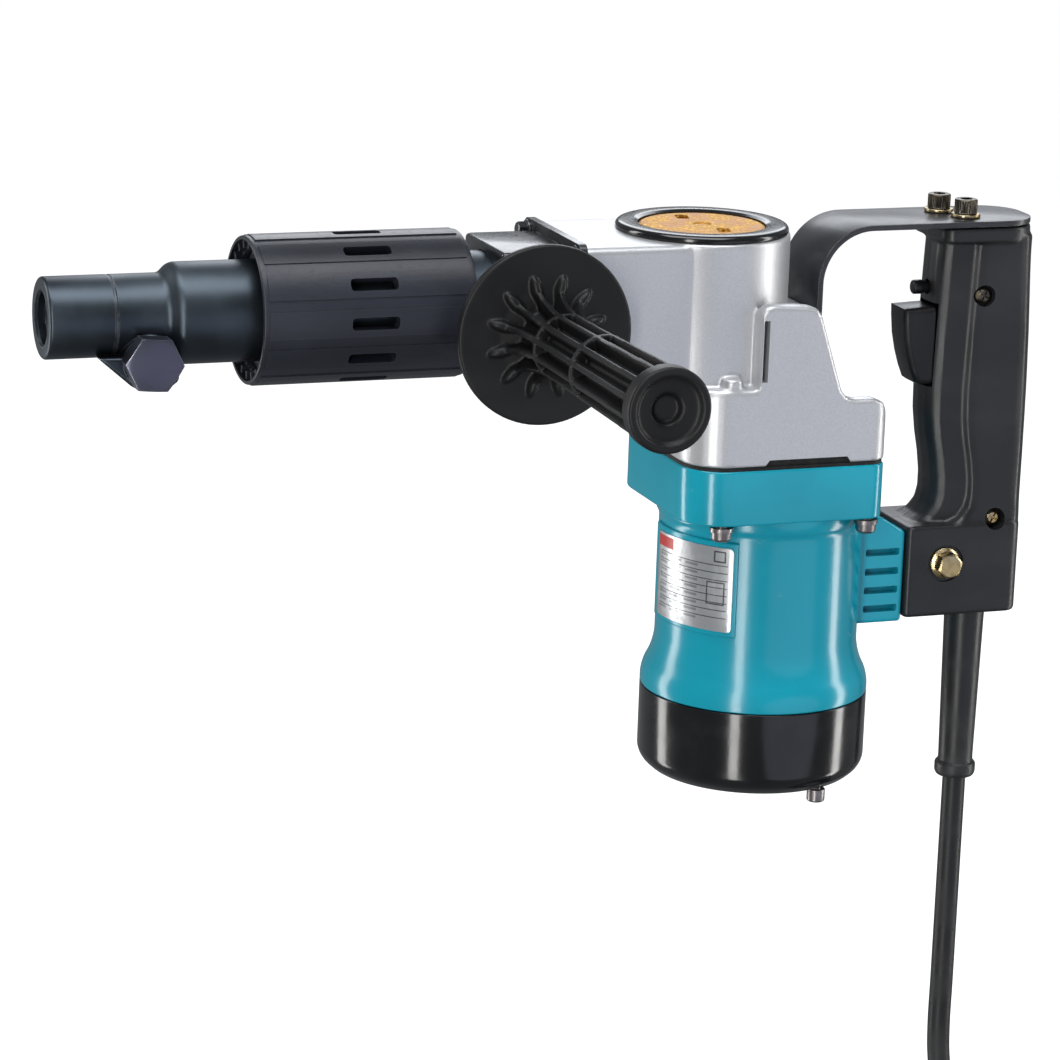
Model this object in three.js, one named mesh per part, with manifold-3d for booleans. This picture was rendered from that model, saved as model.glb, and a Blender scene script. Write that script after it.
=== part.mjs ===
// Corded demolition hammer, in millimetres.
// +Z is up and the barrel points to -X. The origin is where the striking axis meets the rear grip.
import * as THREE from 'three';
import { mergeVertices } from 'three/addons/utils/BufferGeometryUtils.js';
import Module from 'manifold-3d';

const wasm = await Module();
wasm.setup();

// Main axes
const MOTOR_X = -94;             // the motor stands upright on this axis
const CRANK_X = -127;            // the crank turns on this axis, above and ahead of the motor
const GAP = 0.3;                 // running and seating clearance

// Barrel, sleeve and side grip
const MUZZLE_X = -408.5;
const NOSE_R = 16.6, SHOULDER_R = 20.7, BARREL_R = 24.2, SPIGOT_R = 21;
const SHANK_AF = 17.2;           // hexagon bore for a 17 mm shank
const LINER_BORE = 15.2, LINER_R = 18.5;
const SLEEVE_R = 30.7, SLEEVE_X = [-325, -235];
const RETAINER = { x: -368, z: -15.7, r: 8.5, af: 21 };
const FLANGE_X = [-223.5, -190.3];
const GRIP = { x: -211.6, z: -5.6, disc: 37.2, end: 16.8, tip: -182.6 };

// Crank housing, motor and end cover
const CRANK_R = 37.2, CRANK_TOP = 27.2, CAP_TOP = 30.4;
const CASE_X = [-144, -56], CASE_Y = 45, CASE_CORNER = 18;
const LEDGE_Z = -32.5, JOINT_Z = -65.5, BAND_Z = -90.5;
const BODY_R = 43.5, COVER_R = 49, COVER_Z = -173, BASE_Z = -210;
const GEAR_MODULE = 1.1, GEAR_TEETH = 51, PINION_TEETH = 9;
const CRANK_THROW = 12;

// Leaf strap, rear handle and cord
const LEAF = { x: -81, top: 29.8, t: 2.5, half: 19, bend: 22 };
const BOX = { x: [-33, 21.5], z: [-143, -102.5], y: 19.5 };
const PIVOT = { x: -14.7, z: -119.3 };
const CORD = { x: 5.2, r: 5.15, exit: -222, floor: -440 };
const COIL = { x: 67, y: -55, mean: 61.8, inner: 45.5, outer: 78.2, height: 42.5 };

// Materials
const steelBlack = new THREE.MeshStandardMaterial({ color: 0x2a2d33, roughness: 0.38, metalness: 0.85 });
const steel = new THREE.MeshStandardMaterial({ color: 0xa6a8ac, roughness: 0.35, metalness: 1 });
const zinc = new THREE.MeshStandardMaterial({ color: 0xb09a5c, roughness: 0.35, metalness: 0.9 });
const gold = new THREE.MeshStandardMaterial({ color: 0xc98f22, roughness: 0.55, metalness: 0.6 });
const silver = new THREE.MeshStandardMaterial({ color: 0xb9bcc2, roughness: 0.45, metalness: 0.55 });
const teal = new THREE.MeshStandardMaterial({ color: 0x1590a5, roughness: 0.28, metalness: 0 });
const black = new THREE.MeshStandardMaterial({ color: 0x1b1b1e, roughness: 0.5, metalness: 0 });
const blackSatin = new THREE.MeshStandardMaterial({ color: 0x232327, roughness: 0.4, metalness: 0.1 });
const rubber = new THREE.MeshStandardMaterial({ color: 0x1c1c1d, roughness: 0.75, metalness: 0 });
const copper = new THREE.MeshStandardMaterial({ color: 0xa9602c, roughness: 0.4, metalness: 0.9 });
const brass = new THREE.MeshStandardMaterial({ color: 0xb08d4a, roughness: 0.35, metalness: 0.9 });
const carbon = new THREE.MeshStandardMaterial({ color: 0x2e2e30, roughness: 0.8, metalness: 0.1 });
const plateSilver = new THREE.MeshStandardMaterial({ color: 0xc4c6c9, roughness: 0.35, metalness: 0.7 });

const hammer = new THREE.Group();

// ---- solids -------------------------------------------------------------------------------
function solid(geometry) {
  const g = geometry.clone();
  g.deleteAttribute('normal');
  g.deleteAttribute('uv');
  const m = mergeVertices(g, 1e-4);
  const index = m.index ? m.index.array : [...Array(m.attributes.position.count).keys()];
  return new wasm.Manifold(new wasm.Mesh({
    numProp: 3,
    vertProperties: new Float32Array(m.attributes.position.array),
    triVerts: new Uint32Array(index),
  }));
}

function shell(manifold) {
  const mesh = manifold.getMesh();
  const g = new THREE.BufferGeometry();
  g.setAttribute('position', new THREE.BufferAttribute(new Float32Array(mesh.vertProperties), 3));
  g.setIndex(new THREE.BufferAttribute(new Uint32Array(mesh.triVerts), 1));
  g.computeVertexNormals();
  return g;
}

function part(name, geometry, material, x = 0, y = 0, z = 0) {
  const mesh = new THREE.Mesh(geometry, material);
  mesh.name = name;
  mesh.position.set(x, y, z);
  hammer.add(mesh);
  return mesh;
}

// Turned shape about +Z from [radius, height] pairs; it starts and ends on the axis or closes on itself
function turned(pairs, sides = 20) {
  const points = pairs.map(([r, z]) => new THREE.Vector2(r, z));
  if (THREE.ShapeUtils.area(points) < 0) points.reverse();
  return new THREE.LatheGeometry(points, sides).rotateX(Math.PI / 2);
}

function rod(r, z0, z1, sides = 12) {
  return turned([[0, z0], [r, z0], [r, z1], [0, z1]], sides);
}

function ring(inner, outer, z0, z1, sides = 14) {
  return turned([[inner, z0], [outer, z0], [outer, z1], [inner, z1], [inner, z0]], sides);
}

const alongX = (g) => g.rotateY(Math.PI / 2);
const alongY = (g) => g.rotateX(-Math.PI / 2);

function block(x0, x1, y0, y1, z0, z1) {
  return new THREE.BoxGeometry(x1 - x0, y1 - y0, z1 - z0)
    .translate((x0 + x1) / 2, (y0 + y1) / 2, (z0 + z1) / 2);
}

function outline(points) {
  return new THREE.Shape(points.map(([a, b]) => new THREE.Vector2(a, b)));
}

// Side profile in X and Z, extruded over y0..y1, with an optional rounded edge
function sideExtrude(points, y0, y1, round = 0, steps = 1) {
  const g = new THREE.ExtrudeGeometry(outline(points), {
    depth: y1 - y0 - 2 * round, bevelEnabled: round > 0, bevelSize: round, bevelThickness: round,
    bevelOffset: -round, bevelSegments: steps, steps: 1,
  });
  return g.translate(0, 0, round).rotateX(Math.PI / 2).translate(0, y1, 0);
}

// Plan outline in X and Y, extruded over z0..z1
function planExtrude(shape, z0, z1, round = 0) {
  const g = new THREE.ExtrudeGeometry(shape, {
    depth: z1 - z0 - 2 * round, bevelEnabled: round > 0, bevelSize: round, bevelThickness: round,
    bevelOffset: -round, bevelSegments: 1, steps: 1, curveSegments: 4,
  });
  return g.translate(0, 0, z0 + round);
}

function roundedPlan(x0, x1, half, front, rear = front) {
  const s = new THREE.Shape();
  s.moveTo(x0 + front, -half).lineTo(x1 - rear, -half);
  s.absarc(x1 - rear, -half + rear, rear, -Math.PI / 2, 0, false);
  s.absarc(x1 - rear, half - rear, rear, 0, Math.PI / 2, false);
  s.absarc(x0 + front, half - front, front, Math.PI / 2, Math.PI, false);
  s.absarc(x0 + front, -half + front, front, Math.PI, 1.5 * Math.PI, false);
  return s;
}

function hexagon(af, z0, z1) {
  return new THREE.CylinderGeometry(af / Math.sqrt(3), af / Math.sqrt(3), z1 - z0, 6)
    .rotateX(Math.PI / 2).translate(0, 0, (z0 + z1) / 2);
}

function gearOutline(teeth, bore = 0) {
  const pitch = GEAR_MODULE * teeth / 2, tip = pitch + GEAR_MODULE, root = pitch - 1.3 * GEAR_MODULE;
  const s = new THREE.Shape();
  for (let i = 0; i < teeth; i++) {
    const a = 2 * Math.PI * i / teeth, w = 2 * Math.PI / teeth;
    [[root, -0.28], [tip, -0.09], [tip, 0.09], [root, 0.28]].forEach(
      ([r, k], j) => s[i || j ? 'lineTo' : 'moveTo'](r * Math.cos(a + k * w), r * Math.sin(a + k * w)));
  }
  if (bore) s.holes.push(new THREE.Path().absarc(0, 0, bore, 0, 2 * Math.PI, true));
  return s;
}

// ---- barrel and tool retainer -------------------------------------------------------------
function barrel() {
  const outer = alongX(turned([
    [0, MUZZLE_X], [NOSE_R - 1, MUZZLE_X], [NOSE_R, MUZZLE_X + 1], [NOSE_R, -359], [SHOULDER_R, -355.5],
    [SHOULDER_R, -319], [BARREL_R, -318.5], [BARREL_R, -227], [SPIGOT_R, -227], [SPIGOT_R, -193.6],
    [0, -193.6]], 24));
  const lug = sideExtrude([[-389, -14], [-374.5, -26.6], [-369, -28.6], [-361, -28.6], [-355.5, -24.5],
    [-355.5, -14]], -16, 16, 2);
  const shank = alongX(hexagon(SHANK_AF, -404.6, -328).rotateZ(Math.PI / 6));
  const bolt = alongY(rod(RETAINER.r + GAP, -20, 20)).translate(RETAINER.x, 0, RETAINER.z);
  const bore = solid(outer).add(solid(lug))
    .subtract(solid(alongX(rod(10.7, -410, -404))))
    .subtract(solid(shank))
    .subtract(solid(alongX(rod(12, -329, -262, 20))))
    .subtract(solid(alongX(rod(LINER_R + GAP, -262.2, -190, 20))))
    .subtract(solid(bolt));
  part('barrel', shell(bore), steelBlack);
}

function toolRetainer() {
  const head = turned([[0, -25.4], [9.8, -25.4], [12.1, -24], [12.1, -16.9], [0, -16.9]], 6);
  const stem = rod(RETAINER.r, -17.5, 20.4, 18);
  const neck = rod(5, 20.2, 24.4, 12);
  const flat = block(-10, 10, -12, 12, -10, -5.5);
  const pin = solid(alongY(head)).add(solid(alongY(stem))).add(solid(alongY(neck)))
    .subtract(solid(flat));
  part('tool_retainer', shell(pin), steelBlack, RETAINER.x, 0, RETAINER.z);
  part('retainer_stop', alongY(ring(5.3, 10.5, 22.2, 23.8)), steel, RETAINER.x, 0, RETAINER.z);

  class Helix extends THREE.Curve {
    getPoint(t, target = new THREE.Vector3()) {
      const a = 2 * Math.PI * 2.5 * t;
      return target.set(9.6 * Math.cos(a), 17.1 + 4.1 * t, 9.6 * Math.sin(a));
    }
  }
  const wire = new THREE.Shape().absarc(0, 0, 0.6, 0, 2 * Math.PI);
  const coil = new THREE.ExtrudeGeometry(wire, { extrudePath: new Helix(), steps: 24, curveSegments: 3 });
  part('retainer_spring', coil, steel, RETAINER.x, 0, RETAINER.z);
}

function barrelSleeve() {
  const [x0, x1] = SLEEVE_X;
  const tube = alongX(turned([
    [25, x0 + 4], [28.4, x0 + 4], [28.4, x0], [29.7, x0], [SLEEVE_R, x0 + 1.2], [SLEEVE_R, x1], [25, x1], [25, x0 + 4]], 28));
  let sleeve = solid(tube);
  for (let i = 0; i < 12; i++) {
    const slot = block(-288.5, -268.5, -2.6, 2.6, 26, 34).rotateX((32 + 30 * i - 90) * Math.PI / 180 * -1);
    sleeve = sleeve.subtract(solid(slot));
  }
  part('barrel_sleeve', shell(sleeve), black);
}

function barrelFlange() {
  const core = solid(block(FLANGE_X[0], -193, -24.2, 24.2, -30, 24.4))
    .add(solid(sideExtrude([[-193.6, -34], [FLANGE_X[1], -34], [FLANGE_X[1], 28.6], [-193.6, 28.6]], -34, 34)))
    .add(solid(alongY(rod(15, -38.5, -20, 20)).translate(GRIP.x, 0, GRIP.z)))
    .subtract(solid(alongX(rod(SPIGOT_R + GAP, -230, -193.4, 24))))
    .subtract(solid(alongX(rod(LINER_R + GAP, -194, -185, 18))))
    .subtract(solid(alongY(rod(5.3, -40, -25.5, 12)).translate(GRIP.x, 0, GRIP.z)));
  part('barrel_flange', shell(core), black);
}

// ---- side grip ----------------------------------------------------------------------------
function sideGrip() {
  const body = turned([
    [0, 63], [5.3, 63], [5.3, 38.8], [15, 38.8], [15, 41], [34, 42], [GRIP.disc - 0.6, 42],
    [GRIP.disc, 42.8], [GRIP.disc, 45], [GRIP.disc - 0.8, 45.8], [30, 45.8], [11, 47.6], [9.6, 62],
    [10.4, 168], [15.4, 168], [GRIP.end, 173],
    [GRIP.end, -GRIP.tip - 1.6], [GRIP.end - 1.6, -GRIP.tip], [9, -GRIP.tip], [6.5, -GRIP.tip - 2.5],
    [0, -GRIP.tip - 2.5]], 18);
  let grip = solid(body);
  for (let i = 0; i < 12; i++) {
    const rib = new THREE.ExtrudeGeometry(outline([[8, 44.5], [27, 44.5], [17, 54], [12.4, 70],
      [15.6, 169], [8, 169]]), { depth: 1.9, bevelEnabled: false });
    rib.translate(0, 0, -0.95).rotateX(Math.PI / 2).rotateZ(2 * Math.PI * (i + 0.5) / 12);
    grip = grip.add(solid(rib));
  }
  part('side_grip', shell(grip).rotateX(Math.PI / 2), black, GRIP.x, 0, GRIP.z);
  part('side_grip_stud', alongY(rod(5, -62.6, -26, 12)), steel, GRIP.x, 0, GRIP.z);
}

// ---- striking mechanism -------------------------------------------------------------------
function strikingParts() {
  part('impact_bolt', alongX(turned([[0, -336], [7.4, -336], [8.2, -335], [8.2, -326], [11.7, -323],
    [11.7, -282], [8.5, -279], [8.5, -271], [7.5, -270], [0, -270]], 14)), steel);
  part('cylinder_liner', alongX(ring(LINER_BORE, LINER_R, -261.7, -165, 18)), steel);
  part('striker', alongX(turned([[0, -248], [7.5, -248], [9, -246.5], [9, -242], [14.9, -240],
    [14.9, -223], [13.9, -222], [0, -222]], 14)), steel);
  const cup = alongX(turned([[0, -214], [14.9, -214], [14.9, -184], [11.6, -184], [11.6, -207], [0, -207]], 24));
  part('piston', shell(solid(cup).subtract(solid(rod(3.3, -20, 20, 12).translate(-196, 0, 0)))), silver);
  part('wrist_pin', rod(3, -13.6, 13.6, 12), steel, -196, 0, 0);

  const bigEnd = -CRANK_THROW + CRANK_X;
  const link = solid(block(-194, bigEnd + 2, -4.5, 4.5, -5, 5))
    .add(solid(rod(7, -5, 5, 14).translate(-196, 0, 0)))
    .add(solid(rod(10.5, -6, 6, 14).translate(bigEnd, 0, 0)))
    .subtract(solid(rod(3.3, -8, 8, 12).translate(-196, 0, 0)))
    .subtract(solid(rod(5, -8, 8, 12).translate(bigEnd, 0, 0)));
  part('connecting_rod', shell(link), steel);
}

// ---- crank, gears and motor ---------------------------------------------------------------
function crankParts() {
  const shaft = turned([[0, -62], [7, -62], [7, -20], [20, -20], [20, -10], [0, -10]], 24);
  const pin = rod(4.6, -11, -6.4, 12).translate(-CRANK_THROW, 0, 0);
  part('crankshaft', shell(solid(shaft).add(solid(pin))), steel, CRANK_X, 0, 0);
  part('crank_gear', planExtrude(gearOutline(GEAR_TEETH, 7.9), -46, -38), steel, CRANK_X, 0, 0);
  part('crank_bearing_upper', ring(7.3, 15.6, -34.5, -25), steel, CRANK_X, 0, 0);
  part('crank_bearing_lower', ring(7.3, 11, -63, -54), steel, CRANK_X, 0, 0);
  const plate = solid(planExtrude(roundedPlan(-138.4, -61.6, 37, 13, 5), -64.5, -54.5))
    .subtract(solid(rod(11.3, -70, -50, 18).translate(CRANK_X, 0, 0)))
    .subtract(solid(rod(13.3, -70, -50, 18).translate(MOTOR_X, 0, 0)));
  part('bearing_plate', shell(plate), silver);
  part('motor_bearing_upper', ring(5.3, 13, -63.5, -55), steel, MOTOR_X, 0, 0);
  part('motor_bearing_lower', ring(5.3, 11, -206, -199), steel, MOTOR_X, 0, 0);
}

function armature() {
  const shaft = turned([[0, -205.5], [5, -205.5], [5, -52], [3.4, -51], [3.4, -36.5], [0, -36.5]], 12);
  const pinion = planExtrude(gearOutline(PINION_TEETH).closePath(), -47.5, -36.8);
  pinion.rotateZ(Math.PI / PINION_TEETH * (PINION_TEETH % 2 ? 0 : 1));
  const turn = new THREE.Matrix4().makeRotationZ(Math.PI + Math.PI / PINION_TEETH);
  part('armature_shaft', shell(solid(shaft).add(solid(pinion.applyMatrix4(turn)))), steel, MOTOR_X, 0, 0);
  part('armature_core', ring(5.3, 21, -150, -105, 18), steel, MOTOR_X, 0, 0);
  part('commutator', ring(5.3, 11, -180, -160, 14), copper, MOTOR_X, 0, 0);
  let fan = solid(turned([[5.3, -93], [9, -93], [9, -79.5], [38, -79.5], [38, -77.5], [5.3, -77.5],
    [5.3, -93]], 18));
  for (let i = 0; i < 11; i++) {
    const blade = block(14, 36, -0.8, 0.8, -90, -79).rotateZ(2 * Math.PI * i / 11);
    fan = fan.add(solid(blade));
  }
  part('cooling_fan', shell(fan), black, MOTOR_X, 0, 0);
}

function stator() {
  part('stator_core', ring(22, 37.5, -150, -105, 18), steel, MOTOR_X, 0, 0);
  for (const side of [-1, 1]) {
    const y0 = side < 0 ? -27 : 11.4, y1 = side < 0 ? -11.4 : 27;
    part(side < 0 ? 'brush_left' : 'brush_right', block(-3.2, 3.2, y0, y1, -175, -165), carbon, MOTOR_X, 0, 0);
  }
}

// ---- housings -----------------------------------------------------------------------------
function crankHousing() {
  const neck = sideExtrude([[-190, -33], [-150, -33], [-150, -40], [CRANK_X, -40], [CRANK_X, 26.8],
    [-190, 26.8]], -33, 33, 2.2);
  const cheek = [[-116.5, -50], [-116.5, -1], [-115, 1.6], [-112, 2.8], [-95, 1.6], [-91.5, 0.4], [-89.5, -2.4],
    [-79, -34.5], [-76.6, -37.4], [-73, -38.6], [-64, -38.6], [-59.4, -40.6], [-57, -45], [-56.3, -50]];
  const neckBore = alongX(rod(LINER_R + GAP, -195, -140, 18));
  let body = solid(planExtrude(roundedPlan(CASE_X[0], CASE_X[1], CASE_Y, CASE_CORNER, 8), JOINT_Z, -45))
    .add(solid(planExtrude(roundedPlan(CASE_X[0], -70, CASE_Y, CASE_CORNER, 4), -46, LEDGE_Z, 1.5)))
    .add(solid(neck))
    .add(solid(turned([[0, -52], [CRANK_R - 3, -52], [CRANK_R, -49], [CRANK_R, CRANK_TOP - 1.5],
      [CRANK_R - 1.5, CRANK_TOP], [0, CRANK_TOP]], 28).translate(CRANK_X, 0, 0)))
    .add(solid(sideExtrude(cheek, -CASE_Y, -37.4, 2)))
    .add(solid(sideExtrude(cheek, 37.4, CASE_Y, 2)))
    .add(solid(sideExtrude([[-100, -46], [-100, -8], [-97, -5.5], [-LEAF_FACE, -5.5], [-LEAF_FACE, -34],
      [-75, -38.6], [-64, -38.6], [-57, -45], [-57, -50]], -38, 38, 0)));
  body = body
    .subtract(solid(rod(32, -23, 40, 24).translate(CRANK_X, 0, 0)))
    .subtract(solid(rod(16.3, -40, -20, 14).translate(CRANK_X, 0, 0)))
    .subtract(solid(rod(31, -48.5, -36.8, 18).translate(CRANK_X, 0, 0)))
    .subtract(solid(planExtrude(roundedPlan(-138.8, -61.2, 37.4, 13, 5), -70, -42)))
    .subtract(solid(rod(9, -45, -34.5, 10).translate(MOTOR_X, 0, 0)))
    .subtract(solid(neckBore));
  for (const y of [-9, 9]) body = body.subtract(solid(alongX(rod(3.3, -95, -80, 14)).translate(0, y, -19)));
  for (const [x, y] of HOUSING_BOLTS) body = body.subtract(solid(rod(2.7, -70, -48, 8).translate(x, y, 0)));
  body = body.subtract(solid(block(-113, -73, -50, 50, -66, -62.6)));
  part('crank_housing', shell(body), silver);
}
const LEAF_FACE = 81.3;          // rear face that the leaf strap is screwed to, behind the crank
const HOUSING_BOLTS = [[-129, -40.4], [-129, 40.4], [-63.3, -40.4], [-63.3, 40.4]];

function gasket() {
  const lip = solid(planExtrude(roundedPlan(CASE_X[0] + 0.6, CASE_X[1] - 0.6, CASE_Y - 0.6, CASE_CORNER, 8),
    JOINT_Z - 1.1, JOINT_Z - GAP))
    .add(solid(block(-112.6, -73.4, -44.6, 44.6, JOINT_Z - 1, -62.9)))
    .subtract(solid(planExtrude(roundedPlan(-138.4, -61.6, 37.8, 13, 5), -70, -60)))
    .subtract(solid(block(-116, -70, -42, 42, -70, -60)));
  let g = lip;
  for (const [x, y] of HOUSING_BOLTS) g = g.subtract(solid(rod(2.7, -70, -60, 8).translate(x, y, 0)));
  part('housing_gasket', shell(g), rubber);
}

function crankCap() {
  part('crank_cap', turned([[26.9, 21], [31.2, 21], [31.2, CRANK_TOP + GAP], [35.4, CRANK_TOP + GAP],
    [35.4, CAP_TOP - 0.6], [34.8, CAP_TOP], [28.4, CAP_TOP], [26.9, CAP_TOP - 0.8], [26.9, 21]], 24),
  black, CRANK_X, 0, 0);
  let disc = solid(turned([[0, 23], [26.4, 23], [26.4, 28.8], [25.8, 29.3], [0, 29.3]], 24));
  for (const [x, y] of [[-2.5, 16.5], [3.5, -15.5]]) {
    disc = disc.subtract(solid(block(-3.2, 3.2, -1.7, 1.7, 27.4, 32).rotateZ(1.35).translate(x, y, 0)));
  }
  part('cap_plate', shell(disc), gold, CRANK_X, 0, 0);
}

function motorHousing() {
  const top = JOINT_Z - 1.4;
  const body = turned([[0, -172.7], [COVER_R, -172.7], [COVER_R, -167], [COVER_R - 1.2, -163],
    [BODY_R + 1.2, -156.5], [BODY_R, -152], [BODY_R, BAND_Z - 4], [0, BAND_Z - 4]], 28);
  let housing = solid(planExtrude(roundedPlan(CASE_X[0], CASE_X[1], CASE_Y, CASE_CORNER, 8), BAND_Z, top, 1))
    .add(solid(rod(CASE_Y - 0.5, -96, BAND_Z + 1, 28).translate(MOTOR_X, 0, 0)))
    .add(solid(body.translate(MOTOR_X, 0, 0)));
  // raised pad under the rating plate, and the air outlet box that carries the handle pivot
  const pad = solid(rod(BODY_R + 1, -141, -100, 28))
    .intersect(solid(planExtrude(outline([[0, 0], [-60, 10], [-60, -80], [-30, -60]]), -141, -100)));
  housing = housing.add(pad.translate([MOTOR_X, 0, 0]));
  const vents = sideExtrude([[-80, -97], [-45, -98], [-33.6, -104.5], [-33.6, -144.5], [-80, -144.5]],
    -18, 18, 1);
  const lug = sideExtrude([[-40, -133], [-9, -133], [-6, -130], [-6, -108], [-9, -106], [-40, -106]], -12, 12);
  housing = housing.add(solid(vents)).add(solid(lug));
  housing = housing
    .subtract(solid(rod(39.5, -156, -60, 18).translate(MOTOR_X, 0, 0)))
    .subtract(solid(rod(42.6, -180, -155, 18).translate(MOTOR_X, 0, 0)))
    .subtract(solid(planExtrude(roundedPlan(-139, -61, 37.4, 13, 5), -86.5, -60)))
    .subtract(solid(block(-70, -37, -15, 15, -141, -106)))
    .subtract(solid(alongY(rod(3.3, -20, 20, 12)).translate(PIVOT.x, 0, PIVOT.z)));
  for (const z of [-113, -121.5, -129.8, -138]) {
    housing = housing.subtract(solid(block(-53.5, -36, -20, 20, z - 1.6, z + 1.6)));
  }
  for (const [x, y] of HOUSING_BOLTS) housing = housing.subtract(solid(rod(2.7, -100, -60, 8).translate(x, y, 0)));
  part('motor_housing', shell(housing), teal);

  HOUSING_BOLTS.forEach(([x, y], i) => {
    const bolt = turned([[0, -97.5], [4.6, -97.5], [4.6, BAND_Z - GAP - 0.2], [2.3, BAND_Z - GAP - 0.2],
      [2.3, -52], [0, -52]], 10);
    part(`housing_bolt_${i + 1}`, bolt, steel, x, y, 0);
  });
}

function ratingPlate() {
  const s = new THREE.Shape();
  const a0 = 177 * Math.PI / 180, a1 = 233.5 * Math.PI / 180, r = BODY_R + 1.3;
  s.absarc(0, 0, r, a0, a1, false);
  s.absarc(0, 0, r + 0.8, a1, a0, true);
  const g = new THREE.ExtrudeGeometry(s, { depth: 36.5, bevelEnabled: false, curveSegments: 10 });
  part('rating_plate', g.translate(0, 0, -139), plateSilver, MOTOR_X, 0, 0);
}

function endCover() {
  let cover = solid(turned([
    [46.4, COVER_Z], [COVER_R, COVER_Z], [COVER_R, -204], [COVER_R - 1.6, -208.2], [COVER_R - 5.5, BASE_Z],
    [0, BASE_Z], [0, -206.6], [11.3, -206.6], [11.3, -198], [14.5, -198], [14.5, -206.6], [45, -206.6],
    [46.4, -203], [46.4, COVER_Z]], 28));
  for (let i = 0; i < 8; i++) {
    const slot = block(20, 36, -2, 2, -215, -205).rotateZ(2 * Math.PI * (i + 0.5) / 8);
    cover = cover.subtract(solid(slot));
  }
  for (const [x, y] of COVER_SCREWS) cover = cover.subtract(solid(rod(2.5, -215, -200, 8).translate(x, y, 0)));
  part('end_cover', shell(cover), black, MOTOR_X, 0, 0);
  COVER_SCREWS.forEach(([x, y], i) => {
    part(`cover_screw_${i + 1}`, turned([[0, -216], [4, -216], [4, BASE_Z - GAP], [2.1, BASE_Z - GAP],
      [2.1, -199], [0, -199]], 10), steel, MOTOR_X + x, y, 0);
  });
}
const COVER_SCREWS = [[15.7, -37.1], [-15.7, 37.1]];

// ---- leaf strap and rear handle -----------------------------------------------------------
function strap() {
  const { x, top, t, half, bend } = LEAF;
  const cx = x + t + bend, cz = top - t - bend, pts = [];
  pts.push([x, -31]);
  for (let i = 0; i <= 12; i++) {
    const a = Math.PI - Math.PI / 2 * i / 12;
    pts.push([cx + (bend + t) * Math.cos(a), cz + (bend + t) * Math.sin(a)]);
  }
  pts.push([22, top], [22, top - t]);
  for (let i = 12; i >= 0; i--) {
    const a = Math.PI - Math.PI / 2 * i / 12;
    pts.push([cx + bend * Math.cos(a), cz + bend * Math.sin(a)]);
  }
  pts.push([x + t, -31]);
  let leaf = solid(sideExtrude(pts.reverse(), -half, half))
    .intersect(solid(planExtrude(roundedPlan(-90, 22, half, 1, 16), -40, 40)));
  for (const [sx, sy] of STRAP_SCREWS) leaf = leaf.subtract(solid(rod(3.3, 20, 40, 14).translate(sx, sy, 0)));
  for (const y of [-9, 9]) leaf = leaf.subtract(solid(alongX(rod(3.3, -95, -70, 14)).translate(0, y, -19)));
  part('strap', shell(leaf), blackSatin);

  STRAP_SCREWS.forEach(([sx, sy], i) => {
    part(`strap_washer_${i + 1}`, ring(3.3, 6, top + GAP, top + 1.6, 12), zinc, sx, sy, 0);
    const z = top + 1.9;
    const screw = solid(turned([[0, 14], [3, 14], [3, z], [4.9, z], [4.9, z + 6], [0, z + 6]], 12))
      .subtract(solid(hexagon(5, z + 3, z + 8)));
    part(`strap_screw_${i + 1}`, shell(screw), steelBlack, sx, sy, 0);
  });
  [-9, 9].forEach((y, i) => {
    const screw = solid(turned([[0, -93], [3, -93], [3, x + t + GAP], [4.9, x + t + GAP], [4.9, x + t + 6],
      [0, x + t + 6]], 12)).subtract(solid(hexagon(5, x + t + 3, x + t + 8)));
    part(`strap_anchor_${i + 1}`, alongX(shell(screw)), steelBlack, 0, y, -19);
  });
}
const STRAP_SCREWS = [[-15, 7], [-9, -7]];

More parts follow.
